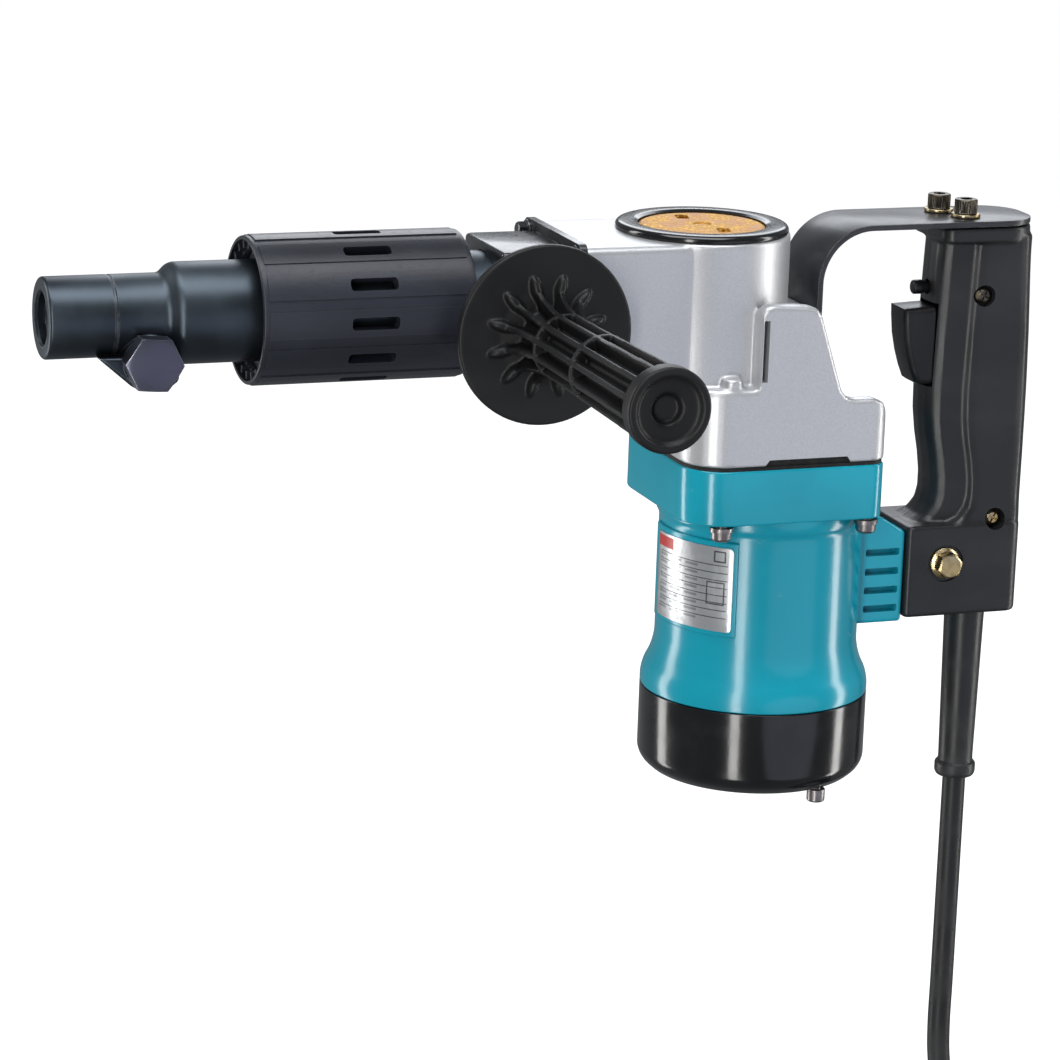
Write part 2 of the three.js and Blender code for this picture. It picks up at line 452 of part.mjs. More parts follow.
function handle() {
  const side = [[-21.8, 25], [-22.2, 4], [-23.6, -46], [-22.6, -62], [-20, -75], [-18.7, -89], [-22, -112],
    [22.6, -112], [23.4, -71], [23.2, -31], [21.8, 25]];
  let shape = solid(sideExtrude(side.reverse(), -17, 17, 5, 2))
    .add(solid(planExtrude(roundedPlan(-22.4, 22, 18.6, 6, 15), 19.5, 26.9, 1)))
    .add(solid(planExtrude(roundedPlan(BOX.x[0], BOX.x[1], BOX.y, 2.5, 6), BOX.z[0], BOX.z[1], 1.5)))
    .subtract(solid(block(-17, 18, -12, 12, -97, 12)))
    .subtract(solid(block(-30, 17.5, -15.5, 15.5, -139, -105.5)))
    .subtract(solid(block(-36, -28, -12.5, 12.5, -135, -104.5)))
    .subtract(solid(block(-42, -15, -9.4, 9.4, -43.6, -6.2)))
    .subtract(solid(alongX(rod(3.4, -40, -10, 12)).translate(0, 0, -1.2)))
    .subtract(solid(alongY(rod(3.3, -30, 30, 12)).translate(PIVOT.x, 0, PIVOT.z)))
    .subtract(solid(alongY(rod(8, -22, -18.4, 14)).translate(PIVOT.x, 0, PIVOT.z)))
    .subtract(solid(rod(6, -150, -130, 14).translate(CORD.x, 0, 0)));
  for (const [sx, sy] of STRAP_SCREWS) shape = shape.subtract(solid(rod(3.3, 10, 40, 14).translate(sx, sy, 0)));
  for (const { x, z, y } of HANDLE_SCREWS) {
    shape = shape.subtract(solid(alongY(rod(4.4, y - 4, y + 4, 12)).translate(x, 0, z)))
      .subtract(solid(alongY(rod(1.9, -30, 12, 12)).translate(x, 0, z)));
  }
  const half = (y0, y1) => shell(shape.intersect(solid(block(-60, 60, y0, y1, -160, 60))));
  part('handle_left', half(-30, -0.15), black);
  part('handle_right', half(0.15, 30), black);

  HANDLE_SCREWS.forEach(({ x, z, y }, i) => {
    const h = -y - 4;               // the recess floor
    const screw = alongY(turned([[0, -h - 2.2], [2.4, -h - 2.2], [3.9, -h - 0.3], [1.6, -h - 0.3], [1.6, 11.5],
      [0, 11.5]], 12)).translate(0, 0, 0);
    part(`handle_screw_${i + 1}`, screw, i ? zinc : steelBlack, x, 0, z);
  });
  const bolt = solid(alongY(turned([[0, -20], [6.6, -20], [6.6, -18.1 - GAP], [3, -18.1 - GAP], [3, 19],
    [0, 19]], 14)))
    .add(solid(alongY(turned([[0, -25.2], [4.9, -25.2], [5.77, -24.4], [5.77, -19.8], [0, -19.8]], 6))));
  part('pivot_bolt', shell(bolt), zinc, PIVOT.x, 0, PIVOT.z);
}
const HANDLE_SCREWS = [{ x: -2.1, z: -2.9, y: -17 }, { x: 8.3, z: -101, y: -17 }];

function switchParts() {
  const key = [[-21, -8.6], [-35.4, -9.2], [-34.6, -22], [-31, -35], [-28.2, -42], [-21, -42.6]];
  part('trigger', sideExtrude(key, -9, 9, 1.2), black);
  part('switch_body', block(-9, 15, -11.5, 11.5, -46, -8), black);
  part('lock_button', alongX(turned([[0, -28.8], [2.4, -28.8], [3.1, -28], [3.1, -13.4], [0, -13.4]], 12)),
    black, 0, 0, -1.2);
}

// ---- cord ---------------------------------------------------------------------------------
function cord() {
  part('cord_guard', turned([[5.4, -143.4], [8.7, -143.4], [7.6, -214], [7.6, -215.4], [8.7, -216], [8.7, -221.2],
    [8.2, CORD.exit], [5.4, CORD.exit], [5.4, -143.4]], 14), rubber, CORD.x, 0, 0);
  const top = CORD.floor + COIL.height, z = top + CORD.r + GAP, bend = 50;
  const path = new THREE.CurvePath();
  path.add(new THREE.LineCurve3(new THREE.Vector3(0, 0, CORD.exit - GAP), new THREE.Vector3(0, 0, z + bend)));
  class Turn extends THREE.Curve {
    getPoint(t, target = new THREE.Vector3()) {
      const a = Math.PI / 2 * t;
      return target.set(0, -bend * (1 - Math.cos(a)), z + bend * (1 - Math.sin(a)));
    }
  }
  path.add(new Turn());
  path.add(new THREE.LineCurve3(new THREE.Vector3(0, -bend, z), new THREE.Vector3(0, -bend - 6, z)));
  const section = new THREE.Shape().absarc(0, 0, CORD.r, 0, 2 * Math.PI);
  part('cord', new THREE.ExtrudeGeometry(section, { extrudePath: path, steps: 14, curveSegments: 5 }),
    rubber, CORD.x, 0, 0);
  part('cord_coil', turned([[COIL.inner, 3], [COIL.inner + 3, 0], [COIL.outer - 3, 0], [COIL.outer, 3],
    [COIL.outer, COIL.height - 3], [COIL.outer - 3, COIL.height], [COIL.inner + 3, COIL.height],
    [COIL.inner, COIL.height - 3], [COIL.inner, 3]], 18), rubber, COIL.x, COIL.y, CORD.floor);
  // two-pin plug lying beside the coil, its pins pointing to +Y
  let plug = solid(turned([[0, 0], [6.4, 0], [7.2, 18], [0, 18]], 12))
    .add(solid(turned([[0, 17], [11, 17], [15, 27], [15, 42], [16.5, 50], [0, 50]], 14)
      .scale(1, 0.6, 1)));
  for (const x of [-9.5, 9.5]) plug = plug.add(solid(rod(2.4, 49, 69, 12).translate(x, 0, 0)));
  part('plug', shell(plug).rotateX(-Math.PI / 2), black, COIL.x + COIL.mean, 1.6, CORD.floor + 10);
}

barrel();
toolRetainer();
barrelSleeve();
barrelFlange();
sideGrip();
strikingParts();
crankParts();
armature();
stator();
crankHousing();
gasket();
crankCap();
motorHousing();
ratingPlate();
endCover();
strap();
handle();
switchParts();
cord();

export default hammer;
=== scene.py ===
# Corded demolition hammer, held up by its rear grip. One section for each piece or group of pieces.
import math

import bmesh
import bpy
from mathutils import Matrix, Vector


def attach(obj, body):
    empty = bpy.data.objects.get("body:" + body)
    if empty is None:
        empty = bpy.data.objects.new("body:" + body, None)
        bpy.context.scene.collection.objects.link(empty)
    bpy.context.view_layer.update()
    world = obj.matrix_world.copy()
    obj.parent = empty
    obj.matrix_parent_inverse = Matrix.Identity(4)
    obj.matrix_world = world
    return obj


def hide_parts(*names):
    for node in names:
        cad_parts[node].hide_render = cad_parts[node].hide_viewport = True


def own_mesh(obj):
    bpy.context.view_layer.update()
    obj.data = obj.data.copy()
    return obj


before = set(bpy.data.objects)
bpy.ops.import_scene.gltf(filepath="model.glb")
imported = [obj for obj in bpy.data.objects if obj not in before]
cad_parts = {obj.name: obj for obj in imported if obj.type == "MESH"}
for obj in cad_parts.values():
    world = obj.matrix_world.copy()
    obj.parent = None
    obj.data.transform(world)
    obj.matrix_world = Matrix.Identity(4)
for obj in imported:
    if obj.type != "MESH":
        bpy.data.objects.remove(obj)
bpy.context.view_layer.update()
MM = 0.001


# ---- Camera, floor and studio light -----------------------------------------------------------
# The tool is seen from its grip side, from a little in front and above. The floor is a plain pale
# sheet at the height where the coiled cord lies, lit with white panels.
camera = bpy.data.objects.new("camera", bpy.data.cameras.new("camera"))
camera.data.lens, camera.data.sensor_width = 140.94, 36
camera.data.clip_end = 50
camera.matrix_world = Matrix((
    (0.94102, 0.05535, -0.33382, -0.78005), (-0.33680, 0.24824, -0.90827, -1.58128),
    (0.03259, 0.96713, 0.25224, 0.34026), (0, 0, 0, 1)))
bpy.context.scene.collection.objects.link(camera)
bpy.context.scene.camera = camera
bpy.context.scene.view_settings.view_transform = "Standard"

FLOOR_Z = -440.0
sheet = bmesh.new()
bmesh.ops.create_grid(sheet, x_segments=1, y_segments=1, size=9)
bmesh.ops.translate(sheet, vec=(0, 3, FLOOR_Z * MM - 0.0004), verts=sheet.verts)
floor = bpy.data.objects.new("floor", bpy.data.meshes.new("floor"))
sheet.to_mesh(floor.data)
sheet.free()
bpy.context.scene.collection.objects.link(floor)
floor_paint = bpy.data.materials.new("floor_paint")
floor_paint.use_nodes = True
shader = floor_paint.node_tree.nodes["Principled BSDF"]
shader.inputs["Base Color"].default_value = (0.30, 0.30, 0.30, 1)
shader.inputs["Roughness"].default_value = 0.9
shader.inputs["Emission Color"].default_value = (1, 1, 1, 1)
shader.inputs["Emission Strength"].default_value = 0.93
floor.data.materials.append(floor_paint)
# the sheet is only a backdrop, so that it does not bleach the black parts
floor.visible_diffuse = floor.visible_glossy = floor.visible_shadow = False

world = bpy.data.worlds.new("studio")
world.use_nodes = True
world.node_tree.nodes["Background"].inputs["Color"].default_value = (0.90, 0.95, 1.0, 1)
world.node_tree.nodes["Background"].inputs["Strength"].default_value = 0.22
bpy.context.scene.world = world

# panel: place, aim, width, height, watts, colour
PANELS = {
    "top_panel": ((-0.35, -0.30, 1.35), (-0.15, 0, 0), 1.5, 0.8, 22, (0.96, 0.98, 1.0)),
    "key_strip": ((-0.97, -1.09, -0.1), (-0.09, 0, -0.1), 0.22, 2.2, 17, (1.0, 0.99, 0.97)),
    "right_strip": ((1.26, -0.37, -0.1), (-0.09, 0, -0.1), 0.25, 2.0, 14, (1.0, 0.99, 0.97)),
    "left_strip": ((-1.27, 0.77, -0.1), (-0.10, 0, -0.1), 0.30, 2.0, 14, (1.0, 0.99, 0.97)),
    "rear_panel": ((0.5, 1.5, 0.9), (-0.1, 0, -0.05), 1.2, 1.0, 12, (0.92, 0.95, 1.0)),
    "low_fill": ((0.45, -1.75, -0.40), (-0.1, 0, -0.05), 2.0, 1.6, 5.5, (0.78, 0.82, 1.0)),
}
for name, (place, aim, width, height, watts, colour) in PANELS.items():
    data = bpy.data.lights.new(name, "AREA")
    data.shape = "ELLIPSE" if name == "low_fill" else "RECTANGLE"
    data.size, data.size_y, data.energy = width, height, watts
    data.color = colour
    panel = bpy.data.objects.new(name, data)
    panel.matrix_world = Matrix.Translation(place) @ (
        Vector(place) - Vector(aim)).to_track_quat("Z", "Y").to_matrix().to_4x4()
    bpy.context.scene.collection.objects.link(panel)


# ---- Mains cord -------------------------------------------------------------------------------
# Two-core flex in a soft black PVC jacket. It hangs from the guard, then is wound into a round
# coil that lies on the floor, four layers of up to three turns, with the plug beside it.
class Link:
    """One output socket of a finish. Arithmetic on it adds Math nodes."""

    def __init__(self, finish, socket):
        self.finish, self.socket = finish, socket

    def math(self, operation, first, second=0.0):
        return self.finish.node("ShaderNodeMath", {"operation": operation}, {0: first, 1: second})

    def __add__(self, other): return self.math("ADD", self, other)
    def __radd__(self, other): return self.math("ADD", other, self)
    def __sub__(self, other): return self.math("SUBTRACT", self, other)
    def __rsub__(self, other): return self.math("SUBTRACT", other, self)
    def __mul__(self, other): return self.math("MULTIPLY", self, other)
    def __rmul__(self, other): return self.math("MULTIPLY", other, self)
    def __truediv__(self, other): return self.math("DIVIDE", self, other)
    def __pow__(self, other): return self.math("POWER", self, other)
    def __lt__(self, other): return self.math("LESS_THAN", self, other)
    def __gt__(self, other): return self.math("GREATER_THAN", self, other)
    def __mod__(self, other): return self.math("FLOORED_MODULO", self, other)
    def __abs__(self): return self.math("ABSOLUTE", self)

    def between(self, low, high):
        """0 below low, 1 above high, and a smooth step between."""
        return self.finish.node("ShaderNodeMapRange", {"interpolation_type": "SMOOTHSTEP"},
                                {"Value": self, "From Min": low, "From Max": high})


class Finish:
    """A material with one Principled shader. Constants go straight on its sockets."""

    def __init__(self, name, **constants):
        self.material = bpy.data.materials.new(name)
        self.material.use_nodes = True
        self.tree = self.material.node_tree
        self.shader = self.tree.nodes["Principled BSDF"]
        for socket, value in constants.items():
            self.put(self.shader, socket.replace("_", " "), value)
        self.place = self.node("ShaderNodeTexCoord", out=3)

    def put(self, node, socket, value):
        if isinstance(value, Link):
            self.tree.links.new(value.socket, node.inputs[socket])
        elif isinstance(value, tuple) and node.inputs[socket].type == "RGBA":
            node.inputs[socket].default_value = (*value, 1)[:4]
        else:
            node.inputs[socket].default_value = value

    def node(self, kind, settings=None, sockets=None, out=0):
        made = self.tree.nodes.new(kind)
        for setting, value in (settings or {}).items():
            if setting == "stops":
                ramp = made.color_ramp.elements
                while len(ramp) < len(value):
                    ramp.new(0.5)
                for stop, (position, colour) in zip(ramp, value):
                    stop.position, stop.color = position, (*colour, 1)
            else:
                setattr(made, setting, value)
        for socket, value in (sockets or {}).items():
            self.put(made, socket, value)
        return Link(self, made.outputs[out])

    def noise(self, scale, detail=3.0, stretch=(1, 1, 1), rough=0.5):
        where = self.node("ShaderNodeMapping", {}, {"Vector": self.place, "Scale": stretch})
        return self.node("ShaderNodeTexNoise", {}, {"Vector": where, "Scale": scale,
                                                    "Detail": detail, "Roughness": rough})

    def coordinates(self):
        """The three parts of a point's place, in metres."""
        split = self.node("ShaderNodeSeparateXYZ", {}, {"Vector": self.place}).socket.node
        return [Link(self, split.outputs[i]) for i in range(3)]

    def mix(self, factor, first, second):
        return self.node("ShaderNodeMix", {"data_type": "RGBA"}, {0: factor, 6: first, 7: second}, 2)

    def edge(self, radius, low, high):
        """1 on outer and inner corners, where paint and plating rub through, and 0 on open faces."""
        soft = self.node("ShaderNodeBevel", {"samples": 4}, {"Radius": radius * MM})
        true = self.node("ShaderNodeNewGeometry", out=1)
        turn = self.node("ShaderNodeVectorMath", {"operation": "DOT_PRODUCT"}, {0: soft, 1: true}, 1)
        return (1 - turn).between(low, high)

    def bump(self, height, depth, strength=1.0):
        bump = self.node("ShaderNodeBump", {}, {"Height": height, "Distance": depth * MM,
                                                "Strength": strength})
        self.put(self.shader, "Normal", bump)
        return self.material

    def colour(self, value, roughness=None, metallic=None):
        self.put(self.shader, "Base Color", value)
        if roughness is not None:
            self.put(self.shader, "Roughness", roughness)
        if metallic is not None:
            self.put(self.shader, "Metallic", metallic)


CORD_X, CORD_R = 5.2, 5.15
CORD_EXIT = -222.3
COIL_X, COIL_Y = 67.0, -55.0
COIL_MEAN, PITCH, LAYER, BOTTOM = 61.8, 10.9, 10.63, -434.7
TURNS, SPLITS = 10.5, 16                 # turns laid, and route points in each
BEND_R, BEND_FOOT = 50.0, -392.05


def cord_finish():
    pvc = Finish("cord_pvc", Specular_IOR_Level=0.35)
    grime = pvc.noise(45, 4).between(0.42, 0.68)
    pvc.colour(pvc.mix(grime, (0.0085, 0.0088, 0.0095), (0.019, 0.019, 0.020)), 0.46 + 0.14 * grime)
    return pvc.bump(pvc.noise(1500, 2) * 0.6 + pvc.noise(260, 2) * 0.4, 0.10, 0.5)


def ease(t):
    t = min(max(t, 0.0), 1.0)
    return t * t * (3 - 2 * t)


# winding slots (radius, height), each with the part of its turn at which it moves to the next
columns = [COIL_MEAN + PITCH, COIL_MEAN, COIL_MEAN - PITCH]
slots = []
for layer in range(4):
    height = BOTTOM + LAYER * (3 - layer)
    slots += [(r, height) for r in (columns if layer % 2 == 0 else columns[::-1])]
shifts = [0.75, 0.75, 0.58, 0.33, 0.33, 0.16, -0.09, -0.09, -0.26, -0.51, -0.51]
radial, drop = 0.25, 0.17

route = [Vector((CORD_X, 0, z)) for z in (CORD_EXIT, -245, -270, -295, -320, BEND_FOOT + BEND_R)]
for i in range(1, 7):
    a = math.pi / 2 * i / 6
    route.append(Vector((CORD_X, -BEND_R * (1 - math.cos(a)), BEND_FOOT + BEND_R * (1 - math.sin(a)))))
for i in range(1, int(TURNS * SPLITS) + 1):
    t = i / SPLITS
    r, z = slots[0]
    for k, start in enumerate(shifts):
        width = radial if slots[k][1] == slots[k + 1][1] else drop
        step = ease((t - k - start) / width)
        r += (slots[k + 1][0] - slots[k][0]) * step
        z += (slots[k + 1][1] - slots[k][1]) * step
    if t < 0.55:                             # rolls off the middle column onto the outer one
        a = math.pi / 2 * ease(t / 0.55)
        r, z = COIL_MEAN + PITCH * math.sin(a), slots[0][1] + LAYER * math.cos(a)
    angle = math.pi - math.tau * t
    route.append(Vector((COIL_X + r * math.cos(angle), COIL_Y - r * math.sin(angle), z)))
route += [Vector((COIL_X + COIL_MEAN + PITCH - x, y, z)) for x, y, z in (
    (1.2, -38, -434.4), (5.2, -22, -432.8), (9.2, -8, -430.8), (10.9, 3.6, -430.0))]

line = bpy.data.curves.new("mains_cord", "CURVE")
line.dimensions, line.bevel_depth, line.bevel_resolution = "3D", CORD_R * MM, 3
line.use_fill_caps, line.resolution_u = True, 4
spline = line.splines.new("BEZIER")
spline.bezier_points.add(len(route) - 1)
for point, at in zip(spline.bezier_points, route):
    point.co = at * MM
    point.handle_left_type = point.handle_right_type = "AUTO"
mains_cord = bpy.data.objects.new("mains_cord", line)
bpy.context.scene.collection.objects.link(mains_cord)
line.materials.append(cord_finish())
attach(mains_cord, "body")
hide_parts("cord", "cord_coil")


# ---- Plug -------------------------------------------------------------------------------------
# Moulded two-pin plug with a ribbed strain relief, in one shot of black PVC over nickelled brass
# pins. It lies on its flat side next to the coil.
PLUG = (COIL_X + COIL_MEAN, 1.6, -430.0)
LYING = Matrix.Translation(PLUG) @ Matrix.Rotation(-math.pi / 2, 4, "X")
PIN_SIDES = (-9.5, 9.5)
AXES = {"X": Matrix.Rotation(math.pi / 2, 4, "Y"), "Y": Matrix.Rotation(-math.pi / 2, 4, "X"),
        "Z": Matrix.Identity(4)}


def turned(outline, steps=96, along="Z", at=(0, 0, 0), segments=4):
    """Turns (radius, height[, corner round]) points about an axis. Open ends lie on the axis."""
    bm = bmesh.new()
    corners = [bm.verts.new((p[0], 0, p[1])) for p in outline]
    for pair in zip(corners, corners[1:]):
        bm.edges.new(pair)
    if outline[0][0] > 0 and outline[-1][0] > 0:
        bm.edges.new((corners[-1], corners[0]))
    bmesh.ops.spin(bm, geom=bm.verts[:] + bm.edges[:], axis=(0, 0, 1), cent=(0, 0, 0),
                   angle=math.tau, steps=steps, use_merge=True)
    bmesh.ops.remove_doubles(bm, verts=bm.verts, dist=1e-4)
    for radius, height, *corner in outline:
        if corner:
            rim = [e for e in bm.edges if all(abs(math.hypot(v.co.x, v.co.y) - radius) < 1e-3
                                              and abs(v.co.z - height) < 1e-3 for v in e.verts)]
            rounded(bm, rim, corner[0], segments)
    bmesh.ops.recalc_face_normals(bm, faces=bm.faces)
    bmesh.ops.transform(bm, matrix=Matrix.Translation(at) @ AXES[along], verts=bm.verts)
    return bm


def rounded(bm, edges, radius, segments=3):
    bmesh.ops.bevel(bm, geom=edges, offset=radius, segments=segments, profile=0.5,
                    affect="EDGES", clamp_overlap=True, material=-1)
    return bm


def worked(bm, *steps):
    """The shape after modifiers, each given as its kind and settings."""
    mesh = bpy.data.meshes.new("work")
    bm.to_mesh(mesh)
    blank = bpy.data.objects.new("work", mesh)
    bpy.context.scene.collection.objects.link(blank)
    for kind, settings in steps:
        modifier = blank.modifiers.new("work", kind)
        for setting, value in settings.items():
            setattr(modifier, setting, value)
    done = bpy.data.meshes.new_from_object(
        blank.evaluated_get(bpy.context.evaluated_depsgraph_get()))
    bm.clear()
    bm.from_mesh(done)
    bpy.data.objects.remove(blank)
    bpy.data.meshes.remove(mesh)
    bpy.data.meshes.remove(done)
    return bm


def combined(bm, tools, operation, solver="EXACT"):
    for tool in tools:
        mesh = bpy.data.meshes.new("tool")
        tool.to_mesh(mesh)
        tool.free()
        cutter = bpy.data.objects.new("tool", mesh)
        bpy.context.scene.collection.objects.link(cutter)
        worked(bm, ("BOOLEAN", {"operation": operation, "solver": solver, "object": cutter}))
        bpy.data.objects.remove(cutter)
        bpy.data.meshes.remove(mesh)
    return bm


def joined(bm, *others):
    return combined(bm, others, "UNION")


def cut(bm, *tools):
    return combined(bm, tools, "DIFFERENCE")


def block(x0, x1, y0, y1, z0, z1):
    bm = bmesh.new()
    size = Matrix.Diagonal((x1 - x0, y1 - y0, z1 - z0, 1))
    middle = Matrix.Translation(((x0 + x1) / 2, (y0 + y1) / 2, (z0 + z1) / 2))
    bmesh.ops.create_cube(bm, size=1, matrix=middle @ size)
    return bm


def gathered(*shapes):
    """Several closed shapes in one mesh, ready to be cast."""
    whole = bmesh.new()
    for shape in shapes:
        mesh = bpy.data.meshes.new("shape")
        shape.to_mesh(mesh)
        shape.free()
        whole.from_mesh(mesh)
        bpy.data.meshes.remove(mesh)
    return whole


def rod(radius, near, far, steps=64, along="Z", at=(0, 0, 0), tip=None):
    """A plain cylinder, or a cone if its far end has a radius of its own."""
    return turned([(0, near), (radius, near), (tip or radius, far), (0, far)], steps, along, at)


def placed(bm, matrix):
    bmesh.ops.transform(bm, matrix=matrix, verts=bm.verts)
    return bm


def moved(bm, by):
    bmesh.ops.translate(bm, vec=by, verts=bm.verts)
    return bm


def turn(bm, angle, axis, centre=(0, 0, 0)):
    bmesh.ops.rotate(bm, verts=bm.verts, cent=centre, matrix=Matrix.Rotation(angle, 3, axis))
    return bm


def piece(name, bm, finish, body, nodes=(), crease=34):
    """Puts a finished shape, made in millimetres, on its body in place of its CAD nodes."""
    bmesh.ops.scale(bm, vec=(MM, MM, MM), verts=bm.verts)
    mesh = bpy.data.meshes.new(name)
    bm.to_mesh(mesh)
    bm.free()
    mesh.shade_smooth()
    mesh.set_sharp_from_angle(angle=math.radians(crease))
    mesh.materials.append(finish)
    made = bpy.data.objects.new(name, mesh)
    bpy.context.scene.collection.objects.link(made)
    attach(made, body)
    if nodes:
        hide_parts(*nodes)
    return made


def plain_finish(name, tones, patches, rough, grain, depth, strength=1.0, **constants):
    """Two tones in soft patches, with a roughness that drifts with them, over a fine grain."""
    scale, detail, low, high = patches
    base, sway = rough
    finish = Finish(name, **constants)
    drift = finish.noise(scale, detail).between(low, high)
    finish.colour(finish.mix(drift, *tones), base + sway * drift if sway else base)
    return finish.bump(finish.noise(*grain), depth, strength)


def plug_shape():
    relief = turned([(0, -2), (5.6, -2, 0.6), (7.4, 18), (0, 18)], 32)
    shape = turned([(0, 16.5), (8.5, 16.5, 1), (14.8, 27, 2), (14.8, 41, 2), (16.4, 50, 1.2),
                    (0, 50)], 48)
    bmesh.ops.scale(shape, vec=(1, 0.6, 1), verts=shape.verts)
    joined(shape, relief)
    for i in range(4):
        low, root = 1 + 4 * i, 5.9 + 0.25 * i
        cut(shape, turned([(root, low), (9, low), (9, low + 2), (root, low + 2)], 32))
    return placed(shape, LYING)


black_vinyl = plain_finish("black_vinyl", ((0.009, 0.009, 0.010), (0.018, 0.018, 0.019)),
                           (60, 4, 0.45, 0.7), (0.42, 0.15), (1300, 2), 0.08, 0.5)
plug_body = piece("plug_body", plug_shape(), black_vinyl, "body", ["plug"])
nickel = plain_finish("nickel", ((0.62, 0.59, 0.53), (0.40, 0.38, 0.34)), (220, 4, 0.4, 0.7),
                      (0.22, 0.2), (900, 2, (1, 0.1, 1)), 0.02, Metallic=1.0)
pins = [turned([(0, 49.4), (2.4, 49.4), (2.4, 69, 1.1), (0, 69)], 24) for side in PIN_SIDES]
for pin, side in zip(pins, PIN_SIDES):
    placed(pin, LYING @ Matrix.Translation((side, 0, 0)))
plug_pins = piece("plug_pins", gathered(*pins), nickel, "body")


# ---- Barrel -----------------------------------------------------------------------------------
# One steel forging, turned outside, with a hexagon broached for the chisel shank and a lug under
# the nose for the retainer. It is blued, and rubs bright on its edges.
MUZZLE, NOSE_R, SHOULDER_R, BODY_STEEL_R = -408.5, 16.6, 20.7, 24.2
SHANK_AF = 17.2
RETAINER_X, RETAINER_Z, RETAINER_R = -368.0, -15.7, 8.5
RETAINER, CYLINDER_R = (RETAINER_X, 0, RETAINER_Z), 18.8
PLANES = {"X": (1, 2, 0), "Y": (0, 2, 1), "Z": (0, 1, 2)}


def prism(points, near, far, along="Y"):
    """A flat outline, given in the plane across an axis, drawn out along it."""
    a, b, c = PLANES[along]
    bm = bmesh.new()
    corners = []
    for p, q in points:
        corner = [0.0, 0.0, 0.0]
        corner[a], corner[b], corner[c] = p, q, near
        corners.append(bm.verts.new(corner))
    step = [0.0, 0.0, 0.0]
    step[c] = far - near
    grown = bmesh.ops.extrude_face_region(bm, geom=[bm.faces.new(corners)])
    bmesh.ops.translate(bm, vec=step,
                        verts=[v for v in grown["geom"] if isinstance(v, bmesh.types.BMVert)])
    bmesh.ops.recalc_face_normals(bm, faces=bm.faces)
    return bm


def hexagon(across, near, far, along, spin=0.0):
    r = across / math.sqrt(3)
    turns = [spin + math.pi * i / 3 for i in range(6)]
    return prism([(r * math.cos(a), r * math.sin(a)) for a in turns], near, far, along)


def blued_finish(name, dark, light, rub):
    steel = Finish(name, Metallic=0.92)
    drift = steel.noise(26, 4).between(0.35, 0.7)
    rings = steel.noise(60, 3, (22, 1, 1), 0.6)
    worn = steel.edge(0.8, 0.01, rub) * steel.noise(130, 4).between(0.30, 0.60)
    skin = steel.mix(drift, dark, light)
    steel.colour(steel.mix(worn * 0.9, skin, (0.36, 0.37, 0.39)), 0.30 + 0.10 * drift + 0.07 * rings)
    return steel.bump(rings * 0.5 + steel.noise(1400, 2) * 0.5, 0.035)


blued_steel = blued_finish("blued_steel", (0.034, 0.042, 0.052), (0.058, 0.072, 0.086), 0.12)
barrel = turned([
    (0, MUZZLE), (NOSE_R, MUZZLE, 1.3), (NOSE_R, -382), (16.25, -381.6), (16.25, -381),
    (NOSE_R, -380.6), (NOSE_R, -360, 1.6), (SHOULDER_R, -355.6, 2.0), (SHOULDER_R, -319),
    (BODY_STEEL_R, -318.5), (BODY_STEEL_R, -297), (20.4, -294), (20.4, -263), (BODY_STEEL_R, -260),
    (BODY_STEEL_R, -236.5), (21.4, -235.5), (21, -227), (21, -193.6, 0.6), (0, -193.6)], 128, "X")
lug = prism([(-389, -14), (-374.5, -26.6), (-369, -28.6), (-361, -28.6), (-355.5, -24.5),
             (-355.5, -14)], -16, 16)
rounded(lug, lug.edges[:], 1.6, 4)
joined(barrel, lug, turned([(0, -17), (11, -17, 1.2), (11, 17, 1.2), (0, 17)], 64, "Y", RETAINER))
cut(barrel,
    turned([(0, -410), (12.7, -410), (10.7, -407.4), (10.7, -404), (0, -404)], 96, "X"),
    hexagon(SHANK_AF, -404.5, -328, "X", spin=math.pi / 6),
    turned([(0, -329), (12, -329), (12, -262), (CYLINDER_R, -262), (CYLINDER_R, -190), (0, -190)],
           64, "X"),
    rod(RETAINER_R + 0.3, -20, 20, 48, "Y", RETAINER))
piece("barrel_forging", barrel, blued_steel, "body", ["barrel"])


# ---- Tool retainer ----------------------------------------------------------------------------
# A hexagon-headed pin across the lug, with a flat that lets the shank past when it is turned
# half round. It is forged steel, blued like the barrel, and held by a sprung stop on its far end.
def headed(across, near, far, along, at, corner=1.0, spin=0.0):
    """A forged hexagon head, its corners turned off at the face furthest from the seat."""
    r, out = across / math.sqrt(3), 1 if far > near else -1
    head = hexagon(across, near - out, far + out, along, spin=spin)
    round_face = turned([(0, near), (r + 1, near), (r + 1, far - out * (corner * 0.62 + 0.6)),
                         (across / 2 - corner * 0.4, far), (0, far)], 96, along)
    combined(head, [round_face], "INTERSECT")
    return moved(head, at)


worn_steel = blued_finish("worn_steel", (0.090, 0.090, 0.125), (0.125, 0.125, 0.165), 0.06)
pin = turn(headed(21, -16.9, -25.4, "Y", RETAINER), math.radians(4), "Y", RETAINER)
stem = turned([(0, -18), (RETAINER_R, -18), (RETAINER_R, 20.4, 0.6), (5, 20.4), (5, 24.4, 0.5),
               (0, 24.4)], 48, "Y", RETAINER)
cut(stem, block(RETAINER_X - 10, RETAINER_X + 10, -12, 12, RETAINER_Z + 5.5, RETAINER_Z + 12))
joined(pin, stem)
piece("retainer_pin", pin, worn_steel, "retainer", ["tool_retainer"])


def bright_finish(name="ground_steel", tone=(0.50, 0.50, 0.51), rough=0.24):
    return plain_finish(name, (tone, tuple(0.62 * c for c in tone)), (140, 4, 0.38, 0.68),
                        (rough, 0.16), (700, 3, (1, 1, 0.08)), 0.03, Metallic=1.0)


bright_steel = bright_finish()


